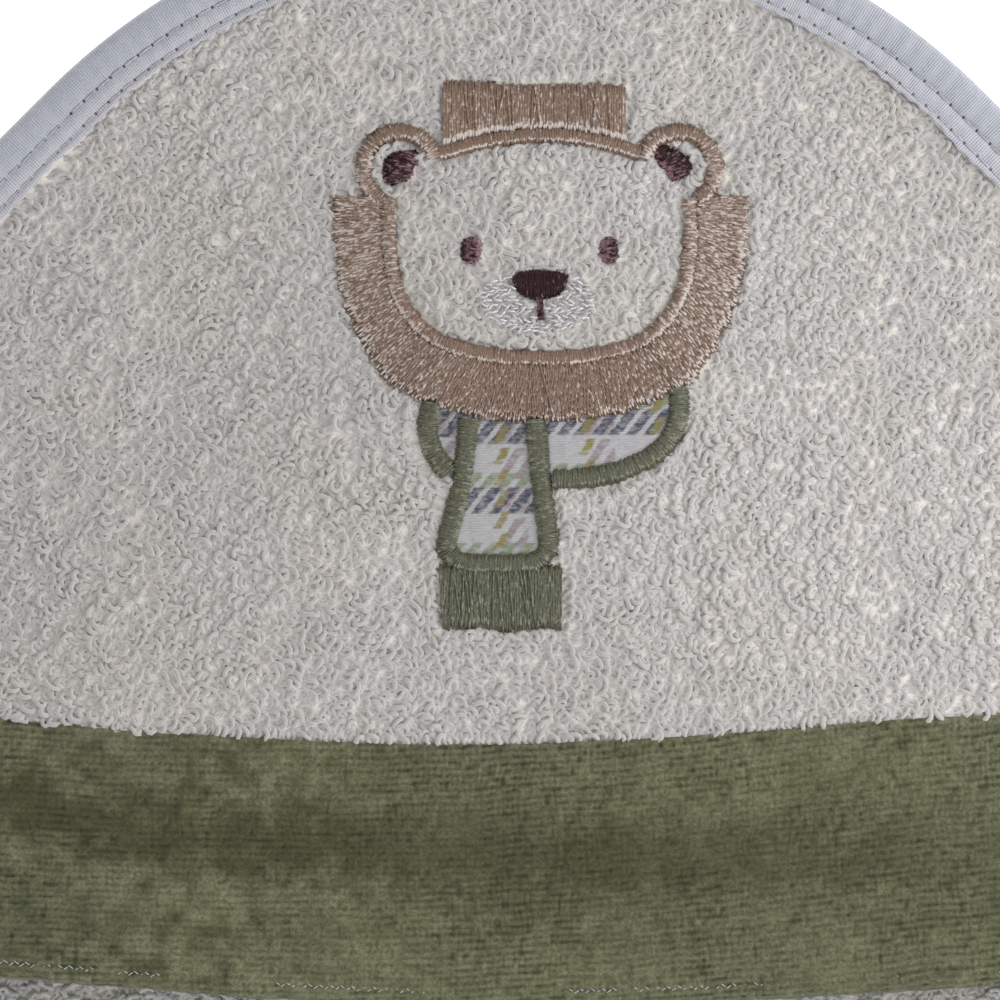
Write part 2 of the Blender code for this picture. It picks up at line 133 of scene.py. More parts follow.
# The lion, about a point between its eyes
MOTIF = np.array([4.3, 450.7])
FACE_INNER = [(25.3, 13.0), (25.3, 5.0), (23.6, -4.0), (18.0, -10.8), (9.0, -13.6), (0.0, -14.2)]
MANE_OUTER = [
    (36.6, 13.4), (36.4, 5.0), (34.6, -5.0), (30.5, -14.0), (25.0, -20.4), (13.0, -25.2), (0.0, -26.4),
]
COLUMN_WIDTH = 2.3
HEAD_TOP = [(-17.4, 19.6), (-9.0, 21.9), (0.0, 22.9), (9.0, 22.1), (17.4, 19.8)]
TUFT_X = (-17.0, 15.2)
TUFT_TOP = 33.4
EAR_CENTRE = (24.6, 18.2)
EAR_RADIUS = 7.9
EAR_COLUMN = 2.7
EAR_ARC = (-58.0, 163.0)
EAR_PATCHES = {
    "left": (
        [(-25.4, 21.1), (-27.3, 19.8), (-27.8, 18.0), (-27.3, 16.4), (-26.2, 15.0)],
        [(-21.7, 21.6), (-21.5, 20.3), (-22.0, 18.6), (-22.7, 17.0), (-23.7, 16.0)],
    ),
    "right": (
        [(19.9, 21.5), (20.6, 20.3), (21.4, 19.0), (22.5, 17.7), (23.6, 16.0)],
        [(21.7, 22.3), (24.8, 21.2), (26.5, 19.6), (26.6, 18.0), (24.8, 16.1)],
    ),
}
EYE_X = 12.1
EYE_Y = 3.6
EYE_RADII = (1.75, 2.3)
NOSE_TOP = [(-4.8, -1.4), (-3.6, -0.4), (-1.5, 0.0), (1.8, -0.1), (3.6, -0.4), (5.0, -0.9)]
NOSE_LOW = [(-4.7, -2.0), (-3.5, -3.9), (-1.2, -4.9), (1.0, -4.9), (3.5, -4.0), (4.8, -2.0)]
STEM = [(-0.1, -4.6), (0.1, -6.4), (0.2, -8.7)]
STEM_WIDTH = 0.9
MUZZLE_CENTRE = (-0.3, -5.4)
MUZZLE_RADII = (9.9, 5.6)
MUZZLE_PITCH = (1.45, 0.72)
MUZZLE_STAGGER = 0.72  # of every other row
MUZZLE_RIM = 46  # stitches round its rim
MUZZLE_HEIGHT = 3.55

# The scarf
TAIL_SIDES = {
    "left": [(-12.4, -26.0), (-13.9, -38.0), (-16.2, -49.6)],
    "right": [(-0.9, -26.2), (0.3, -38.0), (1.4, -49.6)],
}
TAIL_BOTTOM = -51.4
TAIL_PATCH_TOP = -25.6
SCARF_COLUMN = 3.4
WRAP_PATH = [(2.4, -36.8), (8.0, -36.4), (14.6, -35.0), (21.0, -31.6), (24.2, -26.4), (24.3, -20.6)]
WRAP_PATCH_X = (0.4, 24.0)
KNOT_PATH = [(-18.9, -23.2), (-19.7, -27.4), (-18.7, -31.8), (-15.9, -35.6)]
KNOT_PATCH_Y = (-21.8, -34.8)
FRINGE_X = (-17.7, 3.9)
FRINGE_Y = (-62.9, -51.9)
PATCH_SHIFTS = {"tail": (9.4, 3.8), "wrap": (-5.6, 2.2), "knot": (9.0, 2.6)}  # of the print on each patch

# How each shape is stitched, in the terms of satin
EAR_RIM = dict(thread="beige", ragged=0.35, crown=3.6, edges=(2.3, 2.5))
EAR_PATCH = dict(thread="brown", ragged=0.45, crown=3.2)
EYE = dict(thread="brown", ragged=0.35, crown=3.1, glint_rate=1.25)
SCARF_RIM = dict(thread="green", rise=1.3, edges=(2.3, 2.3), glint_rate=0.75)
SATIN = {
    "mane": dict(
        thread="beige", pitch=0.29, radius=0.17, rings=34, stitch=2.6, dip=0.22, strays=10, rise=1.3,
        ragged=0.75, edges=(3.35, 2.1),
    ),
    "face_outline": dict(thread="beige", crown=3.75, edges=(2.4, 3.25)),
    "head_top_outline": dict(thread="beige", crown=3.6, edges=(3.0, 2.5)),
    "forehead_tuft": dict(
        thread="beige", rings=16, strays=16, rise=1.6, ragged=0.4, edges=(2.2, 2.7), stitch=6.3, dip=0.12,
        glint_rate=1.7,
    ),
    "ear_outline_left": EAR_RIM,
    "ear_outline_right": EAR_RIM,
    "ear_patch_left": dict(EAR_PATCH, slant=1.2),
    "ear_patch_right": dict(EAR_PATCH, slant=-1.2),
    "eye_left": dict(EYE, slant=0.6),
    "eye_right": dict(EYE, slant=-0.6),
    "nose": dict(thread="brown", ragged=0.2, crown=3.6, edges=(2.4, 2.4), glint_rate=0.95),
    "scarf_outline_tail": dict(SCARF_RIM, crown=3.6),
    "scarf_outline_wrap": dict(SCARF_RIM, crown=3.5),
    "scarf_outline_knot": dict(SCARF_RIM, crown=3.45),
    "scarf_fringe": dict(
        thread="green", rings=16, strays=14, rise=1.4, crown=3.3, ragged=0.4, edges=(2.6, 2.0), stitch=4.6,
        dip=0.18, glint_rate=1.25,
    ),
}
STEM_SATIN = dict(ragged=0.05, crown=3.5, edges=(3.0, 3.0), rise=0.4, rings=5)

# Threads: each one's colour, and where it has one, the colour of its painted glints, which stand for its
# filaments flashing in the light
THREADS = {
    "sewing": dict(colour=(0.56, 0.56, 0.59), roughness=0.45, variation=0.1),
    "beige": dict(colour=(0.278, 0.18, 0.131), glint_colour=(0.74, 0.66, 0.61)),
    "brown": dict(colour=(0.031, 0.0085, 0.0105), glint_colour=(0.34, 0.205, 0.235), specular=0.25),
    "white": dict(colour=(0.80, 0.80, 0.84), roughness=0.15, variation=0.2),
    "green": dict(colour=(0.128, 0.131, 0.085), glint_colour=(0.31, 0.32, 0.235)),
}

# Knit and print. Each ink has its colour, its strength and the pitch, phase, size and slant of its dashes
RIB_PITCH = 0.48
COURSE_PITCH = 0.42
PRINT_COURSE = 0.44
STRIPE_PITCH = 12.4
INKS = {
    "mauve": ((0.26, 0.195, 0.215), 0.8, ((3.05, 6.1), (1.2, 0.4), (1.6, 5.4), 0.7)),
    "green": ((0.21, 0.28, 0.15), 0.85, ((3.05, 12.2), (0.6, 3.5), (1.9, 2.7), 0.8)),
    "slate": ((0.08, 0.083, 0.13), 1.0, ((3.05, 12.2), (0.0, 0.0), (2.0, 4.6), 0.8)),
    "mustard": ((0.285, 0.245, 0.06), 0.95, ((12.4, 3.75), (2.7, 1.2), (1.35, 3.0), 0.6)),
}

# The studio, in metres and watts
AIM = (0, 0.42, 0.02)
AMBIENT = 0.50
CAMERA_PLACE = (-0.0027, 0.4104)
CAMERA_PLANE = 0.024  # height of the cloth that fills the picture
CAMERA_DISTANCE = 1.5
PICTURE_WIDTH = 0.175  # across that cloth
SENSOR_WIDTH = 36


# ---------------------------------------------------------------- numbers


def smoothstep(t):
    t = np.clip(t, 0, 1)
    return t * t * (3 - 2 * t)


def noise(x, y, size, seed):
    """Smooth noise between -1 and 1, with features about size across."""
    cells = 64
    table = np.random.default_rng(seed).uniform(-1, 1, (cells, cells))
    u, v = np.asarray(x) / size, np.asarray(y) / size
    i, j = np.floor(u).astype(int), np.floor(v).astype(int)
    s, t = smoothstep(u - i), smoothstep(v - j)
    low, high = (
        table[i % cells, row % cells] * (1 - s) + table[(i + 1) % cells, row % cells] * s
        for row in (j, j + 1)
    )
    return low * (1 - t) + high * t


def unit(vectors):
    return vectors / np.maximum(np.linalg.norm(vectors, axis=-1, keepdims=True), 1e-9)


def curve(points, steps):
    """A smooth curve through points (Catmull-Rom), as steps + 1 points evenly spaced along it."""
    steps_between = 24
    points = np.asarray(points, float)
    padded = np.vstack([2 * points[0] - points[1], points, 2 * points[-1] - points[-2]])
    t = np.linspace(0, len(points) - 1, steps_between * len(points) + 1)
    k = np.minimum(t.astype(int), len(points) - 2)
    s = (t - k)[:, None]
    a, b, c, d = (padded[k + shift] for shift in range(4))
    cubic = (2 * a - 5 * b + 4 * c - d) * s**2 + (3 * b - a - 3 * c + d) * s**3
    dense = 0.5 * (2 * b + (c - a) * s + cubic)
    return resample(dense, steps)


def resample(path, steps):
    """path as steps + 1 points evenly spaced along it."""
    reach = np.concatenate([[0], np.cumsum(np.linalg.norm(np.diff(path, axis=0), axis=1))])
    wanted = np.linspace(0, reach[-1], steps + 1)
    return np.column_stack([np.interp(wanted, reach, path[:, axis]) for axis in range(path.shape[1])])


def offset(path, distance):
    """path moved to its left by distance."""
    along = unit(np.gradient(path, axis=0))
    return path + np.column_stack([-along[:, 1], along[:, 0]]) * distance


def mirrored(half):
    """The whole outline of a shape given from its right end to its middle, from left to right."""
    return [(-x, y) for x, y in half] + list(reversed(half[:-1]))


def heading(angle):
    """The flat unit vector at each angle from the X axis."""
    return np.stack([np.cos(angle), np.sin(angle)], -1)


def with_height(flat, height):
    """Flat points, each raised to its height."""
    return np.concatenate([flat, height[..., None]], -1)


def hump(distance, width):
    """1 at distance 0, falling smoothly to almost nothing at twice the width."""
    return np.exp(-((distance / width) ** 2))


# ---------------------------------------------------------------- the towel's surfaces


def edge_distance(x, y):
    """Distance inward from the hooded corner's edge."""
    straight = (HALF_DIAGONAL - y - np.abs(x)) / math.sqrt(2)
    rounded = CORNER_RADIUS - np.hypot(x, y - CORNER_CENTRE)
    return np.where(y - CORNER_CENTRE > np.abs(x), rounded, straight)


def any_edge_distance(x, y):
    """Distance inward from the nearest edge of the whole towel."""
    across, along = np.maximum(np.abs(x), np.abs(y)), np.minimum(np.abs(x), np.abs(y))
    return edge_distance(along, across)


def hood_low(x, y):
    """The underside of the hood."""
    inward = edge_distance(x, y) - DOME_START
    dome = DOME_HEIGHT * smoothstep(inward / (DOME_FULL - DOME_START))
    rumple = sum(height * noise(x, y, size, seed) for height, size, seed in DOME_RUMPLES)
    return HOOD_LOW + dome + smoothstep(inward / DOME_EASE) * rumple


def sag(x):
    return SAG * (1 - smoothstep(np.abs(x - SAG_CENTRE_X) / SAG_HALF_WIDTH))


def seam_line(x):
    return SEAM_Y - sag(x) + 0.35 * noise(x, 0 * x, 22, 8)


def mouth_line(x):
    tilt = MOUTH_TILT * x * (1 - smoothstep(np.abs(x) / MOUTH_TILT_REACH - 0.6))
    return MOUTH_Y - sag(x) - tilt


def half_width(y):
    """Half the hood's width at y, to its cloth's edge."""
    straight = HALF_DIAGONAL - y - CLOTH_INSET * math.sqrt(2)
    radius = CORNER_RADIUS - CLOTH_INSET
    above = np.asarray(y - CORNER_CENTRE)
    rounded = np.sqrt(np.maximum(radius**2 - above**2, 0))
    return np.where(above <= radius / math.sqrt(2), straight, rounded)


def wave(x, y):
    """How far the loose body of the towel lifts from the floor, in soft waves. It is flat under the hood."""
    rolling = noise(x + 0.6 * y, y, 150, 21) + 0.45 * noise(x, y - 0.4 * x, 70, 22)
    calm = smoothstep((WAVE_START_Y - y) / WAVE_GROWTH)
    return calm * WAVE_HEIGHT * np.maximum(rolling - 0.05, 0)


def outline(s):
    """(point, inward direction) at distance s clockwise round the edge, from the hooded corner's left."""
    s = np.asarray(s, float) % (4 * QUARTER)
    corner = np.floor(s / QUARTER)
    rest = s - corner * QUARTER
    bearing = math.pi / 2 - corner * math.pi / 2
    outward = heading(bearing + math.pi / 4 - np.minimum(rest, ARC_LENGTH) / CORNER_RADIUS)
    onward = np.stack([outward[..., 1], -outward[..., 0]], -1)
    point = CORNER_CENTRE * heading(bearing) + outward * CORNER_RADIUS
    return point + onward * np.maximum(rest - ARC_LENGTH, 0)[..., None], -outward


def binding_top(point):
    """The binding's upper face: it steps up from one cloth to cloth and hood."""
    low, high = BINDING_RISE
    rise = smoothstep((point[..., 1] - low) / (high - low))
    return BINDING_TOP + (HOOD_BINDING_TOP - BINDING_TOP) * rise


# ---------------------------------------------------------------- meshes


def make_mesh(name, points, quads, finish, **attributes):
    """A smooth mesh from points in mm and faces of four corners. attributes hold a number per point."""
    points = np.asarray(points, np.float64).reshape(-1, 3)
    quads = np.asarray(quads, np.int32).reshape(-1, 4)
    mesh = bpy.data.meshes.new(name)
    mesh.vertices.add(len(points))
    mesh.vertices.foreach_set("co", (points * MM).astype(np.float32).ravel())
    mesh.loops.add(quads.size)
    mesh.loops.foreach_set("vertex_index", quads.ravel())
    mesh.polygons.add(len(quads))
    mesh.polygons.foreach_set("loop_start", np.arange(0, quads.size, 4, dtype=np.int32))
    mesh.polygons.foreach_set("use_smooth", np.ones(len(quads), bool))
    for key, values in attributes.items():
        layer = mesh.attributes.new(key, "FLOAT", "POINT")
        layer.data.foreach_set("value", np.asarray(values, np.float32).ravel())
    mesh.update(calc_edges=True)
    mesh.materials.append(finish)
    obj = bpy.data.objects.new(name, mesh)
    bpy.context.scene.collection.objects.link(obj)
    return obj


def grid_quads(rows, columns, start=0):
    """Faces of a grid of rows by columns points, facing up when rows run up and columns run right."""
    index = start + np.arange(rows * columns).reshape(rows, columns)
    cells = [index[:-1, :-1], index[:-1, 1:], index[1:, 1:], index[1:, :-1]]
    return np.stack(cells, -1).reshape(-1, 4)


def grid_rim(grid):
    """The points round a grid's edge, in order."""
    return np.concatenate([grid[0], grid[1:, -1], grid[-1, -2::-1], grid[-2:0:-1, 0]])


def make_slab(name, x, y, top, low, finish):
    """A closed sheet over grids of places x and y, between the heights low and top."""
    rows, columns = x.shape
    over = rows * columns
    rim = grid_rim(np.arange(over).reshape(rows, columns))
    after = np.roll(rim, -1)
    sides = np.column_stack([after, rim, rim + over, after + over])
    quads = np.vstack([grid_quads(rows, columns), grid_quads(rows, columns, over)[:, ::-1], sides])
    return make_mesh(name, np.vstack([np.dstack([x, y, top]), np.dstack([x, y, low])]), quads, finish)


def tube_mesh(paths, radius, sides=THREAD_SIDES, reference=UP):
    """Points and faces of tubes along paths, count x rings x 3. reference is a direction across each path.

    radius is one number, or one for each ring of each path.
    """
    count, rings = paths.shape[:2]
    along = unit(np.gradient(paths, axis=1))
    first = unit(reference - (reference * along).sum(-1, keepdims=True) * along)
    second = np.cross(along, first)
    angles = np.linspace(0, 2 * math.pi, sides, endpoint=False)
    size = np.broadcast_to(radius, (count, rings))[..., None, None]
    spokes = first[:, :, None] * np.cos(angles)[:, None] + second[:, :, None] * np.sin(angles)[:, None]
    points = paths[:, :, None] + spokes * size
    index = np.arange(count * rings * sides).reshape(count, rings, sides)
    turned = np.roll(index, -1, axis=2)
    quads = np.stack([index[:, :-1], turned[:, :-1], turned[:, 1:], index[:, 1:]], -1)
    return points.reshape(-1, 3), quads.reshape(-1, 4)


# ---------------------------------------------------------------- materials


class Value:
    """An output of a shader node. Arithmetic on it adds the nodes that work the result out."""

    def __init__(self, finish, socket):
        self.finish, self.socket = finish, socket

    def math(self, operation, *others):
        return self.finish.add("ShaderNodeMath", 0, dict(enumerate((self, *others))), operation=operation)

    def __add__(self, other):
        return self.math("ADD", other)

    def __sub__(self, other):
        return self.math("SUBTRACT", other)

    def __mul__(self, other):
        return self.math("MULTIPLY", other)

    def __truediv__(self, other):
        return self.math("DIVIDE", other)

    def __abs__(self):
        return self.math("ABSOLUTE")

    def off_whole(self):
        """How far this is from the nearest whole number."""
        return self - self.math("ROUND")


class Finish:
    """A material being built. Colours are linear."""

    def __init__(self, name, roughness, sheen=0.0, specular=0.5, sheen_roughness=0.6):
        self.material = bpy.data.materials.new(name)
        self.material.use_nodes = True
        self.tree = self.material.node_tree
        self.shader = self.tree.nodes["Principled BSDF"]
        for socket, value in {
            "Roughness": roughness, "Sheen Weight": sheen, "Sheen Roughness": sheen_roughness,
            "Specular IOR Level": specular,
        }.items():
            self.shader.inputs[socket].default_value = value

    def add(self, kind, output, inputs=None, **settings):
        """A new node's output. inputs holds a Value, or a number or tuple, for each of its sockets."""
        made = self.tree.nodes.new(kind)
        for key, value in settings.items():
            setattr(made, key, value)
        for socket, value in (inputs or {}).items():
            if isinstance(value, Value):
                self.tree.links.new(value.socket, made.inputs[socket])
            else:
                made.inputs[socket].default_value = value
        return Value(self, made.outputs[output])

    def attribute(self, name):
        return self.add("ShaderNodeAttribute", "Fac", attribute_name=name)

    def place(self):
        return self.add("ShaderNodeTexCoord", "Object")

    def vector(self, x, y):
        return self.add("ShaderNodeCombineXYZ", 0, {"X": x, "Y": y, "Z": 0.0})

    def noise(self, scale, detail=3.0, vector=None, roughness=0.5):
        inputs = {"Scale": scale, "Detail": detail, "Roughness": roughness, "Vector": vector or self.place()}
        return self.add("ShaderNodeTexNoise", "Fac", inputs)

    def span(self, value, low, high, to_low=0.0, to_high=1.0):
        """value from low..high to to_low..to_high, smoothly, and held there outside."""
        inputs = {"Value": value, "From Min": low, "From Max": high, "To Min": to_low, "To Max": to_high}
        return self.add("ShaderNodeMapRange", "Result", inputs, interpolation_type="SMOOTHSTEP")

    def mix(self, share, one, other, blend="MIX"):
        """Colour one, turned into other by share. Each is a colour or a Value."""
        one, other = (colour if isinstance(colour, Value) else (*colour, 1) for colour in (one, other))
        return self.add("ShaderNodeMix", 2, {0: share, 6: one, 7: other}, data_type="RGBA", blend_type=blend)

    def scaled(self, colour, factor):
        """A colour times a number."""
        grey = self.add("ShaderNodeCombineColor", 0, {"Red": factor, "Green": factor, "Blue": factor})
        return self.mix(1.0, colour, grey, "MULTIPLY")

    def bump(self, height, distance):
        """Adds this height, in metres times distance, to the surface's relief."""
        inputs = {"Height": height, "Distance": distance, "Strength": 1.0}
        before = self.shader.inputs["Normal"]
        if before.is_linked:
            inputs["Normal"] = Value(self, before.links[0].from_socket)
        self.tree.links.new(self.add("ShaderNodeBump", "Normal", inputs).socket, before)

    def coloured(self, colour):
        """The finished material, with this base colour."""
        self.tree.links.new(colour.socket, self.shader.inputs["Base Color"])
        return self.material


def terry_finish():
    """Looped pile with painted light: greyer on the tips, which catch the most light, and paler down its
    sides and at its feet, where light hardly reaches, to offset the shade there.
    """
    finish = Finish("terry_pile", 0.9, sheen=1.0, specular=0.1, sheen_roughness=0.5)
    tip = finish.mix(finish.attribute("shade"), (0.552, 0.534, 0.527), (0.604, 0.584, 0.577))
    tip = finish.mix(finish.span(finish.noise(38, 2), 0.35, 0.7), tip, (0.595, 0.567, 0.54))
    # Painted light: by its upward facing the yarn's side is paler than its tip, and by its height a loop's
    # foot is paler still, against the shade on them
    side = finish.mix(finish.span(finish.attribute("facing"), -0.35, 0.9), (0.925, 0.905, 0.888), tip)
    colour = finish.mix(finish.span(finish.attribute("height"), 0.0, 0.75), (0.915, 0.885, 0.852), side)
    finish.bump(finish.noise(5200, 3, roughness=0.7), 0.00005)
    return finish.coloured(colour)


def ground_finish():
    """The weave that the loops stand on."""
    finish = Finish("terry_ground", 0.95, sheen=0.2, specular=0.2)
    grain = finish.noise(900, 4)
    finish.bump(grain, 0.0006)
    return finish.coloured(finish.mix(finish.span(grain, 0.3, 0.7), (0.86, 0.815, 0.755), (0.90, 0.86, 0.81)))


def body_finish():
    """Terry cloth seen from further off: nubs of pile from a fine cell texture, with painted shade, darker
    and warmer, between the nubs.
    """
    finish = Finish("terry_cloth", 0.92, sheen=0.7, specular=0.2)
    jitter = finish.add("ShaderNodeTexNoise", "Color", {"Scale": 260.0, "Vector": finish.place()})
    shift = finish.add("ShaderNodeVectorMath", 0, {0: jitter, 1: (0.0035, 0.0035, 0.0)}, operation="MULTIPLY")
    moved = finish.add("ShaderNodeVectorMath", 0, {0: finish.place(), 1: shift}, operation="ADD")
    cells = finish.add("ShaderNodeTexVoronoi", "Distance", {"Scale": 520.0, "Vector": moved}, feature="F1")
    nub = finish.span(cells, 0.1, 0.75, 1.0, 0.0)
    pale = finish.mix(finish.span(finish.noise(30, 3), 0.3, 0.7), (0.83, 0.815, 0.795), (0.86, 0.84, 0.81))
    finish.bump(nub, 0.0013)
    finish.bump(finish.noise(2400, 4, roughness=0.7), 0.0004)
    # The darker, warmer colour between the nubs is painted shade of the gaps between loops
    return finish.coloured(finish.mix(nub, (0.83, 0.79, 0.71), pale))


def jersey_finish():
    """Finely ribbed jersey tape, with its needle holes. Its outer strip, its rib grooves, its pinholes and
    its needle holes are painted darker, as painted shade. It reads the distance along and across the tape.
    """
    finish = Finish("ribbed_jersey", 0.8, sheen=0.15, specular=0.3)
    along, across = finish.attribute("along"), finish.attribute("across")
    rib = (along * (2 * math.pi / RIB_PITCH)).math("SINE")
    course = (across * (2 * math.pi / COURSE_PITCH)).math("SINE")
    tape = finish.vector(along, across)
    cloudy = finish.noise(0.22, 3, tape)
    pinhole_shade = finish.noise(2.6, 2, tape)
    # Painted shade: the outer strip, from the folded edge in to the outer row, is a darker blue-grey, as the
    # shade where the tape curves down over the edge
    colour = finish.mix(finish.span(across, 5.6, 6.4), (0.60, 0.63, 0.705), (0.71, 0.71, 0.785))
    colour = finish.mix(finish.span(cloudy, 0.3, 0.7, 0.0, 0.5), colour, (0.68, 0.70, 0.775))
    # Painted shade in the grooves between the ribs, which the bump below also sinks
    colour = finish.scaled(colour, finish.span(rib, -1, 1, 0.90, 1.04))
    # Painted shade in the knit's pinholes: dark specks
    colour = finish.scaled(colour, finish.span(pinhole_shade, 0.62, 0.74, 1.0, 0.72))
    step = (along / STITCH_PITCH).off_whole() * STITCH_PITCH
    # Painted shade in the needle holes of both rows of stitches
    for row, hole_shade in zip(ROW_INSETS, ((0.10, 0.09, 0.10), (0.22, 0.17, 0.14))):
        gap = (step.math("POWER", 2.0) + (across - row).math("POWER", 2.0)).math("SQRT")
        colour = finish.mix(finish.span(gap, 0.18, 0.42, 1.0, 0.0), colour, hole_shade)
    finish.bump(rib, 0.00007)
    finish.bump(course, 0.00003)
    finish.bump(cloudy, 0.0006)
    return finish.coloured(colour)


def velour_finish():
    """Sheared velour: painted shade in the gaps between the tufts, and greyer on their tips. Its shade
    attribute carries painted shade and painted light as well.
    """
    finish = Finish("olive_velour", 0.95, sheen=0.35, specular=0.15)
    # The shade attribute sets the tips' tone: painted shade along the band's creases, painted light on taller
    # tufts and rumples, and random streaks
    tip = finish.mix(finish.attribute("shade"), (0.073, 0.078, 0.026), (0.233, 0.241, 0.133))
    tip = finish.mix(finish.span(finish.noise(55, 3), 0.3, 0.7, 0.0, 0.4), tip, (0.166, 0.173, 0.1))
    # pit darkens the colour: painted shade in the gaps between tufts
    colour = finish.mix(finish.attribute("pit") * 0.88, tip, (0.034, 0.036, 0.009))
    fibre = finish.noise(1600, 4, roughness=0.75)
    finish.bump(fibre, 0.00025)
    return finish.coloured(finish.scaled(colour, finish.span(fibre, 0.3, 0.7, 0.62, 1.36)))


def thread_finish(name, colour, glint_colour=None, roughness=0.2, variation=0.14, specular=0.6):
    """Glossy embroidery or sewing thread. Its lengths differ a little in tone, and where a glint colour is
    given, painted glints stand for its filaments flashing in the light.
    """
    finish = Finish(name, roughness, specular=specular)
    fine = finish.noise(2200, 2)
    dark, pale = (tuple(c * factor for c in colour) for factor in (1 - variation, 1 + variation))
    varied = finish.mix(finish.attribute("shade"), dark, pale)
    varied = finish.scaled(varied, finish.span(fine, 0.3, 0.7, 0.82, 1.15))
    # Painted glints: pale flecks along each thread, more where its glint attribute is high
    if glint_colour:
        along = finish.vector(finish.attribute("run") * 0.7, finish.attribute("thread"))
        grain = finish.noise(1.0, 2, along) * 0.78 + finish.noise(2300, 1) * 0.22
        flash = grain + (finish.attribute("painted_glint") - 1.0) * 0.2
        varied = finish.mix(finish.span(flash, 0.46, 0.68), varied, glint_colour)
    finish.bump(fine, 0.00015)
    return finish.coloured(varied)


def printed_finish():
    """White knit cotton with a broken check of slanted dashes. It reads its place on the cloth, in mm."""
    finish = Finish("printed_cotton", 0.85, sheen=0.1, specular=0.25)
    across, up = finish.attribute("across"), finish.attribute("up")
    course = up * (1 / PRINT_COURSE)
    ragged = finish.noise(1.0, 1, finish.vector(across * 0.5, course.math("ROUND")))
    across = across + (ragged - 0.5) * 1.3

    def dashes(pitch, phase, size, slant):
        """Slanted dashes of size (width, height), every pitch (across, up) from phase."""
        above = ((up - phase[1]) / pitch[1]).off_whole() * pitch[1]
        beside = ((across - above * slant - phase[0]) / pitch[0]).off_whole() * pitch[0]
        wide, high = (
            finish.span(abs(gap), extent / 2 - 0.25, extent / 2 + 0.25, 1.0, 0.0)
            for gap, extent in zip((beside, above), size)
        )
        return wide * high

    blot = finish.noise(0.5, 3, finish.vector(across, up))
    worn = finish.span(finish.noise(1.3, 3, finish.vector(across * 0.6, up)), 0.3, 0.65, 0.45, 1.0)
    colour = finish.mix(finish.span(blot, 0.4, 0.75, 0.0, 0.6), (0.54, 0.53, 0.555), (0.475, 0.435, 0.40))
    stripe = finish.span(abs((across / STRIPE_PITCH - 0.395).off_whole()), 0.17, 0.24, 1.0, 0.0)
    for name, (ink, strength, layout) in INKS.items():
        printed = dashes(*layout)
        if name == "mauve":
            printed = stripe * printed
        colour = finish.mix(printed * strength * worn, colour, ink)
    rows = (course * (2 * math.pi)).math("SINE")
    # Painted shade in the grooves between the knit's courses, which the bump below also sinks
    colour = finish.scaled(colour, finish.span(rows, -1, 1, 0.94, 1.03))
    streak = finish.noise(1.0, 3, finish.vector(across, up * 3.2))
    finish.bump(rows, 0.00003)
    return finish.coloured(finish.scaled(colour, finish.span(streak, 0.3, 0.7, 0.88, 1.08)))


def backing_finish():
    """Thin felted sheet: pressed fibres in every direction."""
    finish = Finish("stabiliser", 0.9, specular=0.2)
    fibres = finish.noise(1100, 5, roughness=0.8)
    finish.bump(fibres, 0.0002)
    return finish.coloured(finish.mix(finish.span(fibres, 0.3, 0.7), (0.62, 0.61, 0.59), (0.74, 0.73, 0.71)))


def floor_finish():
    finish = Finish("pale_floor", 0.9, specular=0.1)
    for socket, value in {
        "Base Color": (0.93, 0.93, 0.93, 1), "Emission Color": (1, 1, 1, 1), "Emission Strength": 0.6,
    }.items():
        finish.shader.inputs[socket].default_value = value
    return finish.material


# ---------------------------------------------------------------- terry loops


def loop_mesh(roots, base, width, length, lean, across_angle, lean_angle, radius, rings, seed):
    """Points, faces, heights and upward facing of loops of yarn standing on roots, count x 2.

    base(x, y) is the height that they stand on. A loop's two feet are apart along across_angle, and its top
    leans by lean along lean_angle.
    """
    foot, lowest, sway = 152, 0.55, 0.09
    count = len(roots)
    bend = np.radians(np.linspace(-foot, foot, rings))
    share = (np.cos(bend) - np.cos(bend[0])) / (1 - np.cos(bend[0]))
    across, toward = heading(across_angle), heading(lean_angle)
    tall = np.sqrt(np.maximum(length**2 - lean**2, lowest**2))
    flat = (
        roots[:, None]
        + across[:, None] * (width[:, None] / 2 * np.sin(bend))[..., None]
        + toward[:, None] * (lean[:, None] * share**1.2)[..., None]
        + np.random.default_rng(seed).normal(0, sway, (count, rings, 2)) * share[:, None]
    )
    z = base(flat[..., 0], flat[..., 1]) + tall[:, None] * share
    stem = np.column_stack([toward * lean[:, None], tall])
    side = np.column_stack([across, np.zeros(count)])
    reference = unit(np.cross(side, stem))[:, None]
    points, quads = tube_mesh(with_height(flat, z), radius[:, None], LOOP_SIDES, reference)
    heights = np.repeat(np.broadcast_to(share, (count, rings)).ravel(), LOOP_SIDES)
    facing = (points[:, 2] - np.repeat(z.ravel(), LOOP_SIDES)) / np.repeat(radius, rings * LOOP_SIDES)
    return points, quads, heights, facing


def scattered(x_range, y_range, seed):
    """Places for loops, in staggered rows and each a little out of place."""
    stray = 0.42
    x, y = np.meshgrid(np.arange(*x_range, LOOP_PITCH[0]), np.arange(*y_range, LOOP_PITCH[1]))
    x[1::2] += LOOP_PITCH[0] / 2
    points = np.column_stack([x.ravel(), y.ravel()])
    return points + np.random.default_rng(seed).uniform(-stray, stray, points.shape)


def inside(polygon, points):
    """True for the points inside a closed polygon."""
    found = np.zeros(len(points), bool)
    for (ax, ay), (bx, by) in zip(polygon, np.roll(polygon, -1, axis=0)):
        crosses = (ay > points[:, 1]) != (by > points[:, 1])
        run = (bx - ax) / (by - ay) if by != ay else 0.0
        found ^= crosses & (points[:, 0] < ax + (points[:, 1] - ay) * run)
    return found


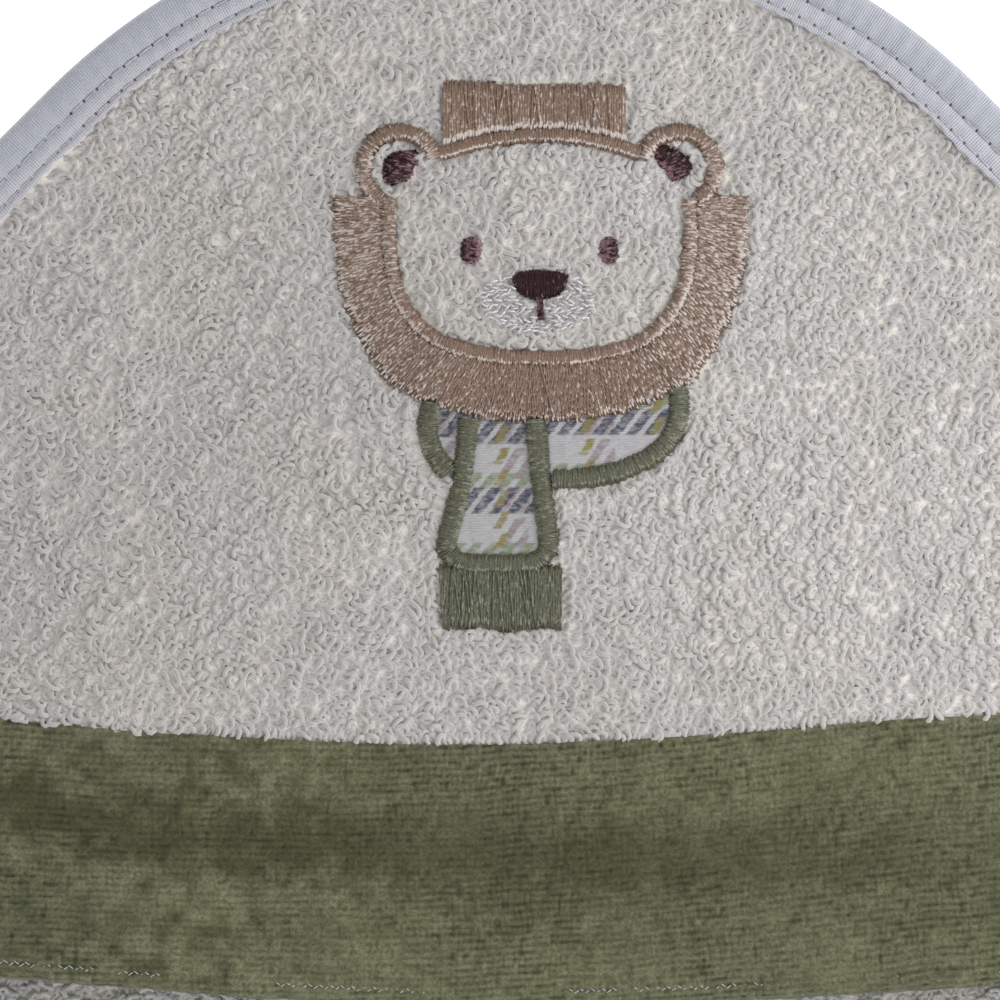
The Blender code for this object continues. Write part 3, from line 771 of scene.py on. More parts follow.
def motif_distance(points, shapes):
    """(distance to the nearest shape, negative inside one; direction away from it) for motif points."""
    covered = np.zeros(len(points), bool)
    nearest = np.full(len(points), 1e9)
    away = np.zeros((len(points), 2))
    for shape in shapes:
        covered |= inside(shape, points)
        for a, b in zip(shape, np.roll(shape, -1, axis=0)):
            span = b - a
            share = np.clip((points - a) @ span / max(span @ span, 1e-9), 0, 1)
            gap = points - (a + share[:, None] * span)
            size = np.linalg.norm(gap, axis=1)
            closer = size < nearest
            nearest[closer] = size[closer]
            away[closer] = gap[closer]
    away = unit(away)
    return np.where(covered, -nearest, nearest), np.where(covered[:, None], -away, away)


def pile_pieces(name, roots, base, finish, seed, shapes=(), rings=9, short=None, turn=None):
    """Terry loops standing on roots, as pieces of no more than PILE_CHUNK triangles.

    They lean away from shapes. short(points) scales them, and turn(points, angles) turns their lean.
    """
    random = np.random.default_rng(seed)
    count = len(roots)
    x, y = roots.T
    drift = 1.4 * math.pi * noise(x, y, 26, seed + 1) + 0.3 * math.pi * noise(x, y, 7, seed + 2)
    lean_angle = drift + random.normal(0, 0.36, count)
    across_angle = lean_angle + math.pi / 2 + random.normal(0, 0.4, count)
    size = random.normal(1, 0.14, count)
    lean = np.clip(random.normal(LOOP_LEAN, 0.3, count), *LEAN_RANGE) * size
    if len(shapes):
        distance, away = motif_distance(roots - MOTIF, shapes)
        near = np.clip(1 - distance / SHAPE_CLEARANCE, 0, 1)[:, None]
        wanted = unit(heading(lean_angle) * (1 - 0.75 * near) + away * 0.9 * near)
        lean_angle = np.arctan2(wanted[:, 1], wanted[:, 0])
        across_angle = lean_angle + math.pi / 2 + random.normal(0, 0.45, count)
    if turn:
        lean_angle = turn(roots, lean_angle)
    scale = short(roots) if short else np.ones(count)
    width = np.clip(random.normal(LOOP_WIDTH, 0.26, count), *WIDTH_RANGE) * size
    length = (LOOP_LENGTH * size) * scale
    radius = YARN_RADIUS * np.clip(random.normal(1, 0.12, count), *YARN_RANGE)
    shade = random.random(count)
    per_piece = PILE_CHUNK // ((rings - 1) * LOOP_SIDES * 2)
    made = []
    for number, start in enumerate(range(0, count, per_piece)):
        some = slice(start, start + per_piece)
        points, quads, heights, facing = loop_mesh(
            roots[some], base, width[some], length[some], (lean * scale)[some], across_angle[some],
            lean_angle[some], radius[some], rings, seed + 10 + number,
        )
        shades = np.repeat(shade[some], rings * LOOP_SIDES)
        label = f"{name}_{number + 1}"
        made.append(make_mesh(label, points, quads, finish, height=heights, shade=shades, facing=facing))
    return made


# ---------------------------------------------------------------- body cloth, binding and its stitches


def rounded_square(u, v, half):
    """Points of a square grid of this half side, moved so that every ring of it has rounded corners."""
    reach = np.maximum(np.abs(u), np.abs(v))
    radius = (CORNER_RADIUS - CLOTH_INSET) * reach / half
    straight = reach - radius
    share = np.minimum(np.abs(u), np.abs(v)) / np.maximum(reach, 1e-9)
    path = share * (straight + radius * math.pi / 4)
    turn = np.clip((path - straight) / np.maximum(radius, 1e-9), 0, math.pi / 4)
    major = straight + radius * np.cos(turn)
    minor = np.minimum(path, straight) + radius * np.sin(turn)
    steep = np.abs(v) > np.abs(u)
    return np.sign(u) * np.where(steep, minor, major), np.sign(v) * np.where(steep, major, minor)


def make_body_cloth(finish):
    """The towel's square of terry, as one closed sheet."""
    half = SIDE / 2 - CLOTH_INSET
    ticks = np.linspace(-half, half, round(2 * half / CLOTH_STEP) + 1)
    u, v = rounded_square(*np.meshgrid(ticks, ticks), half)
    x, y = (u - v) / math.sqrt(2), (u + v) / math.sqrt(2)
    lift = wave(x, y)
    # The binding presses the cloth's edge flat
    free = smoothstep((any_edge_distance(x, y) - 6) / 5)
    nub = 0.35 * noise(x, y, 5, 31) + 0.25 * noise(x, y, 9, 32)
    top = CLOTH_TOP - 0.2 + lift + nub * free
    return make_slab("body_cloth", x, y, top, CLOTH_LOW * (1 - free) + 0.05 + lift, finish)


def stations():
    """Distances along the edge, close together round the hooded corner and wider elsewhere."""
    reach, far_count = 170, 1900
    near = np.arange(-reach, ARC_LENGTH + reach, BINDING_STEP)
    far = np.linspace(ARC_LENGTH + reach, 4 * QUARTER - reach, far_count)[:-1]
    return np.concatenate([near, far])


def binding_profile(top, wavy):
    """The folded tape's closed section as (inset, height), for each station. wavy moves its free edge.

    Heights are over the floor beneath the cloth, and from top above it.
    """
    outer, inner = ROW_INSETS
    width = BINDING_WIDTH
    below = [(width, 0.0), (7.0, 0.0), (3.0, 0.0), (1.0, 0.3), (0.25, 1.2)]
    above = [
        (0.0, -2.6), (0.2, -1.5), (0.8, -0.55), (1.9, -0.05), (3.4, 0.12), (4.8, 0.0),
        (outer - 0.45, -0.3), (outer, -0.72), (outer + 0.45, -0.3), (7.4, 0.05),
        (inner - 0.5, -0.2), (inner, -0.62), (inner + 0.4, -0.2), (9.8, -0.02),
        (width, -0.22), (width + 0.05, -0.6), (width - 0.15, -0.95), (7.4, -1.0), (3.0, -1.0), (1.4, -1.25),
    ]
    lining = [(0.75, 2.0), (1.2, 1.1), (4.0, 1.0), (8.0, 1.0), (width, 0.9)]
    section = [(*point, part is above) for part in (below, above, lining) for point in part]
    n, z, on_top = np.array(section, float).T
    return n + on_top * smoothstep((n - 8.8) / 1.4) * wavy[:, None], z + on_top * top[:, None]


def make_binding(finish):
    s = stations()
    point, inward = outline(s)
    top = binding_top(point)
    stitches = 2 * math.pi * s / STITCH_PITCH
    pucker = 0.16 * np.cos(stitches) + 0.3 * noise(s, 0 * s, 9, 41)
    inset, height = binding_profile(top, pucker)
    plump = 0.18 * noise(s, 0 * s, 6, 42) + 0.12 * np.cos(stitches + 1)
    upper = (height > top[:, None] - 0.5) & (inset > 1.0)
    height = height + np.where(upper, plump[:, None] * smoothstep((10.4 - inset) / 2), 0)
    height = height + wave(point[:, 0], point[:, 1])[:, None]
    points = with_height(point[:, None] + inward[:, None] * inset[..., None], height)
    index = np.arange(inset.size).reshape(inset.shape)
    after, turned = np.roll(index, -1, axis=0), np.roll(index, -1, axis=1)
    quads = np.stack([index, turned, np.roll(after, -1, axis=1), after], -1)
    along = np.repeat(s, inset.shape[1])
    return make_mesh("jersey_binding", points, quads, finish, along=along, across=inset)


def make_binding_stitches(name, row_inset, finish, seed):
    """One row of the twin-needle stitches: a short span of thread from each needle hole to the next."""
    rings, radius, depth, bow = 8, 0.15, 0.95, 0.62
    random = np.random.default_rng(seed)
    count = int(4 * QUARTER / STITCH_PITCH)
    share = np.linspace(-0.5, 0.5, rings)
    s = (np.arange(count)[:, None] + 0.5) * STITCH_PITCH + share * STITCH_PITCH * 0.94
    point, inward = outline(s)
    flat = point + inward * (row_inset + random.normal(0, 0.05, (count, 1)))[..., None]
    rise = np.sqrt(np.maximum(1 - (2 * share) ** 4, 0))
    z = binding_top(point) - depth + bow * rise + wave(point[..., 0], point[..., 1])
    points, quads = tube_mesh(with_height(flat, z), radius)
    shades = np.repeat(random.random(count), rings * THREAD_SIDES)
    return make_mesh(name, points, quads, finish, shade=shades)


# ---------------------------------------------------------------- hood panel and band


def make_panel(finish):
    straight_rows, corner_rows, columns, rim = 65, 46, 200, 2.6
    radius = CORNER_RADIUS - CLOTH_INSET
    angles = np.radians(np.linspace(45, 88, corner_rows))
    straight = np.linspace(SEAM_Y, CORNER_CENTRE + radius * math.sin(angles[0]), straight_rows)
    heights = np.concatenate([straight[:-1], CORNER_CENTRE + radius * np.sin(angles)])[:, None]
    x = np.linspace(-1, 1, columns) * half_width(heights)
    y = heights - (SEAM_Y - seam_line(x)) * (1 - smoothstep((heights - SEAM_Y) / SAG_FADE))
    low = hood_low(x, y)
    edge = smoothstep((edge_distance(x, y) - 9.6) / 1.5)
    return make_slab("panel_ground", x, y, low + rim - (rim - PANEL_BASE) * edge, low, finish)


def band_section(x, down):
    """(y, z) of the band's upper side. down is 0 at the seam and 1 at the start of its rounded fold."""
    seam = seam_line(x)
    y = seam + (mouth_line(x) + BAND_NOSE - seam) * down
    full = smoothstep((edge_distance(x, y) - DOME_START) / 12)
    hollow = -1.5 * hump(down - 0.5 - 0.06 * noise(x, 0 * x, 60, 51), 0.2)
    hollow = hollow * (0.75 + 0.35 * noise(x, 0 * x, 40, 52))
    roll = 0.7 * hump(down - 0.9, 0.12)
    ease = 1 - 0.75 * hump(seam - y, 2.2)
    ripple = 0.3 * noise(x, 4 * y, 26, 53)
    return y, hood_low(x, y) + (3.0 + full * (1.1 * ease + hollow + roll + ripple - 0.3))


def band_row(x_share, down):
    """The places x of a row of the band."""
    return x_share * half_width(SEAM_Y + (MOUTH_Y - SEAM_Y) * down)


def band_grid(x_share, downs, turns, lift=0.0):
    """Rows of points from the seam over the band and round its fold. turns are degrees round the fold."""
    rows = []
    for down in downs:
        x = band_row(x_share, down)
        y, z = band_section(x, down)
        rows.append(np.column_stack([x, y, z + lift]))
    x = x_share * half_width(MOUTH_Y)
    y0, z0 = band_section(x, 1.0)
    low = hood_low(x, y0) + BAND_GAP
    radius = (z0 - low) / 2
    for angle in np.radians(turns):
        y = y0 - (BAND_NOSE + lift) * math.sin(angle)
        rows.append(np.column_stack([x, y, low + radius + (radius + lift) * math.cos(angle)]))
    return np.array(rows)


def make_band(finish):
    """The doubled strip itself, open along its sewn edges."""
    sunk = -0.9  # under the tips of its pile
    share = np.linspace(-1, 1, 240)
    over = band_grid(share, np.linspace(0, 1, 26), np.linspace(12, 168, 12), sunk)
    under = []
    for down in np.linspace(1, 0, 20):
        x = band_row(share, down)
        y, _ = band_section(x, down)
        under.append(np.column_stack([x, y, hood_low(x, y) + BAND_GAP]))
    grid = np.vstack([over, under])
    zero = np.zeros(grid.shape[:2])
    quads = grid_quads(*zero.shape)[:, ::-1]
    return make_mesh("band_cloth", grid, quads, finish, shade=zero + 0.4, pit=zero + 0.2)


def make_band_pile(name, low_share, high_share, columns, finish):
    """Sheared pile over part of the band: tufts in rows and columns, with painted shade in the gaps between
    some of them, and painted shade and light carried in its shade attribute.
    """
    downs, turns = np.linspace(0, 1, 132), np.linspace(8, 150, 22)
    grid = band_grid(np.linspace(low_share, high_share, columns), downs, turns)
    x, y = grid[..., 0], grid[..., 1]
    straight = SEAM_Y - MOUTH_Y - BAND_NOSE
    from_seam = np.concatenate([downs * straight, straight + np.radians(turns) * BAND_NOSE])[:, None]
    v = (from_seam + ROW_SLOPE * x + 0.3 * noise(x, y, 8, 61) + 0.12 * noise(x, y, 2.6, 60)) / TUFT_PITCH[1]
    u = (x + 0.7 * noise(x, y, 5, 62) + 0.25 * noise(x, y, 2.2, 63)) / TUFT_PITCH[0]
    row, column = 5.3 * np.round(v), 5.3 * np.round(u)
    row_gap = 0.5 + 0.5 * np.cos(2 * math.pi * v)
    column_gap = (0.5 + 0.5 * np.cos(2 * math.pi * u)) ** 1.5
    row_dark = np.clip(0.55 + 0.35 * noise(x, row, 1.6, 64) + 0.3 * noise(x, row, 0.7, 69), 0, 1.2)
    column_dark = np.clip(0.4 + 0.45 * noise(column, y, 1.3, 65), 0, 1)
    specks = smoothstep((noise(x, y, 1.1, 59) - 0.35) / 0.5)
    patchy = np.clip(0.8 + 0.3 * noise(x, y, 11, 66), 0.4, 1.2)
    # pit: the gaps between tufts, which sink the surface and carry painted shade into the velour's colour
    pit = np.clip(patchy * (row_gap * row_dark + 0.55 * column_gap * column_dark + 0.5 * specks), 0, 1)
    tall = 0.5 * noise(x, y, 1.1, 67) + 0.5 * noise(x, y, 4, 68)
    rumple = smoothstep((-10 - x) / 45) * noise(x, y, 2.7, 96)
    lift = 0.16 * tall - 0.45 * pit + 0.3 * rumple
    normal = -unit(np.cross(np.gradient(grid, axis=1), np.gradient(grid, axis=0)))
    down = from_seam / (SEAM_Y - MOUTH_Y)
    streak = noise(x, 3.2 * y, 30, 70)
    # Painted shade along the band's hollow, as a crease, and along a second line nearer the fold, with random
    # streaks
    crease = hump(down - 0.42 - 0.0008 * x + 0.04 * streak, 0.14)
    second = hump(down - 0.75 + 0.03 * streak, 0.06)
    crease_shade_and_streaks = 0.18 - (0.8 - 0.35 * smoothstep((x - 10) / 60)) * crease - 0.16 * second + 0.1 * streak
    # Taller tufts and rumples are painted lighter: painted light on them
    shade = np.clip(0.5 + crease_shade_and_streaks + 0.4 * tall + 0.5 * rumple, 0, 1)
    quads = grid_quads(*x.shape)[:, ::-1]
    return make_mesh(name, grid + normal * lift[..., None], quads, finish, shade=shade, pit=pit)


def stitches_along(name, x, y, z, aside, length, radius, finish, seed):
    """Short stitches at points (x, y, z), each turned by aside, in radians, from the X axis."""
    bow = 0.25
    reach = np.linspace(-1, 1, STITCH_RINGS)
    flat = np.column_stack([x, y])[:, None] + heading(aside)[:, None] * (length / 2 * reach)[:, None]
    points, quads = tube_mesh(with_height(flat, z[:, None] - bow * reach**2), radius)
    shades = np.repeat(np.random.default_rng(seed).random(len(x)), STITCH_RINGS * THREAD_SIDES)
    return make_mesh(name, points, quads, finish, shade=shades)


def make_hem_stitches(finish):
    """The zigzag of stitches just above the fold. They show in stretches and are sunk in pile between."""
    x = np.arange(-HEM_REACH, HEM_REACH, HEM_PITCH)
    side = np.where(np.arange(len(x)) % 2, 1, -1)
    y, z = band_section(x, 0.985 + 0.004 * side)
    showing = smoothstep(0.45 + 1.2 * noise(x, 0 * x, 17, 91) + 0.4 * noise(x, 0 * x, 1.5, 95))
    return stitches_along("hem_stitches", x, y, z - 0.45 + 0.42 * showing, 0.6 * side, 0.9, 0.1, finish, 92)


def make_seam_stitches(finish):
    """The lock stitches of the seam between panel and band, inside the hood."""
    x = np.arange(-SEAM_REACH, SEAM_REACH, SEAM_PITCH)
    y = seam_line(x) + 0.4
    return stitches_along("seam_stitches", x, y, hood_low(x, y) - 0.1, 0 * x, 2.5, 0.2, finish, 93)


def make_backing(finish):
    """The stabiliser sheet behind the embroidery, inside the hood."""
    angles = np.linspace(0, 2 * math.pi, 72)
    share = np.linspace(0.04, 1, 16)[:, None]
    ragged = 1 + 0.012 * noise(40 * np.cos(angles), 40 * np.sin(angles), 9, 94)
    x = BACKING_CENTRE[0] + BACKING_RADII[0] * share * (ragged * np.cos(angles))
    y = BACKING_CENTRE[1] + BACKING_RADII[1] * share * (ragged * np.sin(angles))
    top = hood_low(x, y) - 0.05
    return make_slab("stabiliser", x, y, top, top - 0.25, finish)


# ---------------------------------------------------------------- embroidery


def lay(points, height):
    """Motif points, count x ... x 2, laid on the panel at height over its underside."""
    placed = points + MOTIF
    return with_height(placed, hood_low(placed[..., 0], placed[..., 1]) + height)


def shoulders(share, length, rise, edges, crown):
    """Height across stitches: over rounded shoulders from the first edge to crown, and to the last edge."""
    drop = 0
    for edge, inward in zip(edges, (share * length, (1 - share) * length)):
        climb = 1 - np.clip(inward / np.minimum(rise, length / 2), 0, 1)
        drop = drop + (crown - edge) * (1 - np.sqrt(np.maximum(1 - climb**2, 0)))
    return crown - drop


def at(path, t):
    """The points of a path at shares t of its steps."""
    t = np.clip(t, 0, 1) * (len(path) - 1)
    return np.column_stack([np.interp(t, np.arange(len(path)), path[:, axis]) for axis in range(2)])


def satin(name, one, other, finish, pitch=0.29, radius=0.19, rings=9, rise=1.1, edges=(2.0, 2.0), crown=3.4,
          ragged=0.22, slant=0.0, stitch=None, dip=0.3, strays=0, glint_rate=1.0, seed=1):
    """Threads laid side by side from curve one to curve other, over a filling of the same colour.

    edges and crown are their heights at the ends and between, and rise is the reach of the rounding. ragged
    is how far ends stray, and slant how far they are moved on along other. stitch is the length between the
    dips where each thread is tacked down. strays are loose threads on top. The setting after strays says how
    often the threads flash with painted glints.
    """
    random = np.random.default_rng(seed)
    reach = max(np.linalg.norm(np.diff(path, axis=0), axis=1).sum() for path in (one, other))
    count = max(int(reach / pitch), 3)
    place = (np.arange(count) + 0.5) / count + random.normal(0, 0.09 / count, count)
    slope = random.normal(0, 0.25 / count, count) + slant / reach
    if strays:
        place = np.concatenate([place, random.uniform(0.08, 0.92, strays)])
        slope = np.concatenate([slope, random.normal(0, 1.1 / reach, strays)])
        count += strays
    start, end = at(one, place - slope / 2), at(other, place + slope / 2)
    run = unit(end - start)
    start = start - run * random.uniform(-ragged, ragged, (count, 1))
    end = end + run * random.uniform(-ragged, ragged, (count, 1))
    share = np.linspace(0, 1, rings)
    length = np.linalg.norm(end - start, axis=1)[:, None]
    height = shoulders(share, length, rise, edges, crown) + random.normal(0, 0.025, (count, 1))
    if stitch:
        phase = (np.arange(count) * 0.382 % 1)[:, None] + random.normal(0, 0.06, (count, 1))
        turn = share * length / stitch + phase
        height = height - dip * hump((turn - np.round(turn)) * stitch, 0.42)
    if strays:
        height[-strays:] += 0.28
    paths = lay(start[:, None] + (end - start)[:, None] * share[:, None], height)
    slopes = np.gradient(paths, axis=1)
    tilt = slopes[..., 2] / np.maximum(np.linalg.norm(slopes[..., :2], axis=-1), 1e-6) * run[:, 1:]
    # Painted glints: more on threads that run along X, which the low key light catches all along them, and
    # most where a thread slopes to face that light
    painted_glint = glint_rate * (0.45 + 0.5 * np.abs(run[:, :1]) + 1.5 * hump(tilt - 0.4, 0.27))
    points, quads = tube_mesh(paths, radius)
    # The filling under the threads takes shade 0.25, a little darker than the threads on average: painted
    # shade beneath them
    looks = {
        "shade": (random.random((count, 1)), 0.25), "painted_glint": (painted_glint, 0.0), "run": (share * length, 0.0),
        "thread": (np.arange(count)[:, None] * 3.7, 0.0),
    }

    rows, columns = max(int(reach / 0.6), 8), 9
    share, t = np.linspace(0.02, 0.98, columns), np.linspace(0.0, 1.0, rows)
    first, last = at(one, t)[:, None], at(other, t)[:, None]
    below = shoulders(share, np.linalg.norm(last - first, axis=-1), rise, edges, crown) - 0.2
    filling = lay(first + (last - first) * share[:, None], below).reshape(-1, 3)
    quads = np.vstack([quads, grid_quads(rows, columns, len(points))])
    attributes = {}
    for key, (threads, under) in looks.items():
        threads = np.repeat(np.broadcast_to(threads, (count, rings)).ravel(), THREAD_SIDES)
        attributes[key] = np.append(threads, np.full(len(filling), under))
    return make_mesh(name, np.vstack([points, filling]), quads, finish, **attributes)


def make_muzzle(finish):
    """Short glossy stitches scattered in rows over the pile, closer together round the muzzle's rim."""
    random = np.random.default_rng(232)
    wide, high = MUZZLE_PITCH
    across, up = np.meshgrid(np.arange(-10.5, 10.5, wide), np.arange(-6.3, 6.3, high))
    across[1::2] += MUZZLE_STAGGER
    inner = np.column_stack([across.ravel(), up.ravel()]) + random.normal(0, 0.16, (across.size, 2))
    inner = inner[np.hypot(*(inner / MUZZLE_RADII).T) < 0.93]
    rim = heading(np.linspace(0, 2 * math.pi, MUZZLE_RIM, endpoint=False)) * MUZZLE_RADII
    rim = rim * random.normal(0.97, 0.025, (len(rim), 1))
    placed = np.vstack([inner, rim]) + MUZZLE_CENTRE
    nose_distance, _ = motif_distance(placed, [np.vstack([NOSE_TOP, NOSE_LOW[::-1]])])
    on_stem = (np.abs(placed[:, 0] - STEM[1][0]) < 1.0) & (placed[:, 1] > STEM[-1][1] - 0.4)
    x, y = (placed[(nose_distance > 0.5) & ~on_stem] + MOTIF).T
    height = hood_low(x, y) + random.normal(MUZZLE_HEIGHT, 0.09, len(x))
    aside = 0.35 * np.sign(np.sin(2.1 * y)) + random.normal(0, 0.28, len(x))
    return stitches_along("stitched_muzzle", x, y, height, aside, 1.15, 0.16, finish, 233)


def eye_sides(side):
    """The left and right halves of an eye's ellipse, from its top to its bottom."""
    right = heading(np.radians(np.linspace(86, -86, 24))) * EYE_RADII
    centre = (side * EYE_X, EYE_Y)
    return right * (-1, 1) + centre, right + centre


def ear_arcs(side):
    spoke = heading(np.radians(np.linspace(*EAR_ARC, 50))) * (side, 1)
    centre = np.multiply(EAR_CENTRE, (side, 1))
    return centre + spoke * EAR_RADIUS, centre + spoke * (EAR_RADIUS - EAR_COLUMN)


def column_sides(path, width, steps=120):
    line = curve(path, steps)
    return offset(line, width / 2), offset(line, -width / 2)


def tail_path():
    left, right = TAIL_SIDES["left"], TAIL_SIDES["right"]
    bend = np.array([(-0.1, -47.6), (0.9, -50.0), (3.4, TAIL_BOTTOM)])
    bend_left = bend + (left[-1][0], 0)
    bend_right = bend[::-1] * (-1, 1) + (right[-1][0], 0)
    return [*left[:-1], *bend_left, *bend_right, *reversed(right[:-1])]


def guides():
    """Every stitched shape's two guide curves, by the CAD node that it stands for."""
    inner = curve(mirrored(FACE_INNER), 160)
    column = offset(inner, -COLUMN_WIDTH)
    head = curve(HEAD_TOP, 80)
    head_outer = offset(head, COLUMN_WIDTH)
    x = np.linspace(*TUFT_X, 60)
    tuft_low = np.interp(x, *head_outer.T) + 0.1
    tuft_high = TUFT_TOP + 0.35 * noise(x, 0 * x, 3, 71) - 0.6 * (x - TUFT_X[0]) / 32
    fringe_x = np.linspace(*FRINGE_X, 60)
    fringe_low = FRINGE_Y[0] + 0.4 * noise(fringe_x, 0 * fringe_x, 3, 72)
    found = {
        "mane": (column, curve(mirrored(MANE_OUTER), 160)),
        "face_outline": (inner, column),
        "forehead_tuft": (np.column_stack([x, tuft_high]), np.column_stack([x, tuft_low])),
        "head_top_outline": (head_outer, head),
    }
    sides = {"left": -1, "right": 1}
    found.update({f"ear_outline_{label}": ear_arcs(side) for label, side in sides.items()})
    found.update({f"ear_patch_{label}": [curve(edge, 40) for edge in EAR_PATCHES[label]] for label in sides})
    found.update({f"eye_{label}": eye_sides(side) for label, side in sides.items()})
    found["nose"] = (curve(NOSE_TOP, 40), curve(NOSE_LOW, 40))
    found["scarf_outline_tail"] = column_sides(tail_path(), SCARF_COLUMN, 220)
    found["scarf_outline_wrap"] = column_sides(WRAP_PATH, SCARF_COLUMN)
    found["scarf_outline_knot"] = column_sides(KNOT_PATH, SCARF_COLUMN)
    fringe_high = np.full(len(fringe_x), FRINGE_Y[1])
    fringe_high = np.column_stack([fringe_x, fringe_high])
    found["scarf_fringe"] = (fringe_high, np.column_stack([fringe_x * 0.97, fringe_low]))
    return found


def crossing(path, y):
    """The places x where a path that runs downward passes heights y."""
    return np.interp(-y, -path[:, 1], path[:, 0])[:, None]


def scarf_patches():
    """The three printed patches as grids of motif points, rows x columns x 2."""
    left, right = (curve(TAIL_SIDES[side], 60) for side in ("left", "right"))
    y = np.linspace(TAIL_PATCH_TOP, TAIL_BOTTOM, 90)
    share = np.linspace(0, 1, 44)
    tail = np.dstack([crossing(left, y) * (1 - share) + crossing(right, y) * share, y[:, None] + 0 * share])

    x = np.linspace(*WRAP_PATCH_X, 80)
    top = np.interp(x, *curve(mirrored(MANE_OUTER), 160).T) + 0.8
    lower = np.interp(x, *curve(WRAP_PATH, 120)[:78].T)
    share = np.linspace(0, 1, 40)[:, None]
    wrap = np.dstack([x[None] + 0 * share, top * (1 - share) + lower * share])

    y = np.linspace(*KNOT_PATCH_Y, 36)
    share = np.linspace(0, 1, 20)
    outer, inner = crossing(curve(KNOT_PATH, 60), y) - 1.2, crossing(left, y) + 1.6
    knot = np.dstack([outer * (1 - share) + inner * share, y[:, None] + 0 * share])
    return {"tail": tail, "wrap": wrap, "knot": knot}


def covered_shapes(shapes, patches):
    """Closed outlines, in the motif's coordinates, of all that stands in the place of loops."""
    most = 90  # points of an outline, about
    found = [np.vstack([one, other[::-1]]) for one, other in shapes.values()]
    found += [grid_rim(grid)[::4] for grid in patches.values()]
    return [shape[:: max(len(shape) // most, 1)] for shape in found]


def patch_size(grid):
    """(width, height, area) of a patch cut out flat."""
    across, down = grid[:-1, 1:] - grid[:-1, :-1], grid[1:, :-1] - grid[:-1, :-1]
    area = np.abs(across[..., 0] * down[..., 1] - across[..., 1] * down[..., 0]).sum()
    width, height = grid.reshape(-1, 2).max(0) - grid.reshape(-1, 2).min(0)
    return float(width), float(height), float(area)


def make_patch(name, grid, finish, shift):
    rows, columns = grid.shape[:2]
    width, height, _ = patch_size(grid)
    beside, beyond = np.linspace(0, 1, columns), np.linspace(0, 1, rows)[:, None]
    inward = np.minimum(np.minimum(beside, 1 - beside) * width, np.minimum(beyond, 1 - beyond) * height)
    bulge = 1.9 + 0.6 * smoothstep(inward / 1.5) + 0.12 * noise(grid[..., 0], grid[..., 1], 2.5, 81)
    quads = grid_quads(rows, columns)
    if np.cross(grid[0, 1] - grid[0, 0], grid[1, 0] - grid[0, 0]) < 0:
        quads = quads[:, ::-1]
    across, up = grid[..., 0] + shift[0], grid[..., 1] + shift[1]
    return make_mesh(name, lay(grid, bulge), quads, finish, across=across, up=up)


# ---------------------------------------------------------------- the scene


def make_floor():
    bpy.ops.mesh.primitive_plane_add(size=12, location=(0, 0, -0.0005))
    floor = bpy.context.object
    floor.name = "floor"
    floor.data.materials.append(floor_finish())


def make_light(name, location, size, power):
    """A soft rectangular light, size = (width, height), turned to AIM."""
    data = bpy.data.lights.new(name, "AREA")
    data.shape = "RECTANGLE"
    data.size, data.size_y = size
    data.energy = power
    light = bpy.data.objects.new(name, data)
    light.location = location
    light.rotation_euler = (Vector(AIM) - Vector(location)).to_track_quat("-Z", "Y").to_euler()
    bpy.context.scene.collection.objects.link(light)


def make_studio():
    scene = bpy.context.scene
    scene.cycles.diffuse_bounces = 8
    scene.view_settings.view_transform = "Standard"
    world = bpy.data.worlds.new("studio")
    world.use_nodes = True
    background = world.node_tree.nodes["Background"]
    background.inputs["Color"].default_value = (1.0, 1.0, 1.0, 1)
    background.inputs["Strength"].default_value = AMBIENT
    scene.world = world
    make_light("key_low", (0.0, -0.85, 1.2), (1.0, 0.2), 5)
    make_light("fill_right", (0.42, 0.5, 0.36), (0.4, 0.4), 1.45)
    data = bpy.data.cameras.new("camera")
    data.sensor_width = SENSOR_WIDTH
    data.lens = SENSOR_WIDTH * CAMERA_DISTANCE / PICTURE_WIDTH
    camera = bpy.data.objects.new("camera", data)
    camera.location = (*CAMERA_PLACE, CAMERA_PLANE + CAMERA_DISTANCE)
    camera.rotation_euler = (0, 0, 0)
    scene.collection.objects.link(camera)
    scene.camera = camera


def fasten(piece, body, slot, *nodes):
    """Hides the CAD nodes that a piece stands for, and hangs the piece on body's empty, or where body is
    "bend" bakes its place into its mesh. slot is not used.
    """
    if body == "bend":
        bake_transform(piece)
    else:
        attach(piece, body)
    if nodes:
        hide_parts(*nodes)
    return piece


def build_cloth(finishes):
    cloth = fasten(make_body_cloth(finishes["cloth"]), "bend", "cream_terry", "towel_body", "towel_corner")
    (left, right), (low, high) = MOUTH_STRIP
    roots = scattered((left, right), (low, high), 101)
    roots = roots[any_edge_distance(*roots.T) > PILE_INSETS["body"]]
    fade = smoothstep((roots[:, 1] - low) / 36) * smoothstep((right - np.abs(roots[:, 0])) / 42)
    roots = roots[np.random.default_rng(103).random(len(roots)) < fade]
    strip = pile_pieces(
        "mouth_pile", roots, lambda x, y: BODY_BASE + wave(x, y), finishes["terry"], 102, rings=7
    )
    for piece in strip:
        fasten(piece, "bend", "cream_terry")


def build_binding(finishes):
    binding = make_binding(finishes["jersey"])
    fasten(binding, "bend", "jersey_binding", "edge_binding", "hood_binding")
    for label, row in zip(("outer", "inner"), ROW_INSETS):
        stitches = make_binding_stitches(f"binding_stitch_{label}", row, finishes["sewing"], 111 + int(row))
        fasten(stitches, "bend", "sewing_thread", f"edge_stitch_{label}", f"hood_stitch_{label}")


def pile_start(x):
    """Where the hood's loops begin: the seam, and clear of it where the band bulges towards its ends."""
    return seam_line(x) + 0.8 * smoothstep((-40 - x) / 30) + 0.7 * smoothstep((x - 55) / 25)


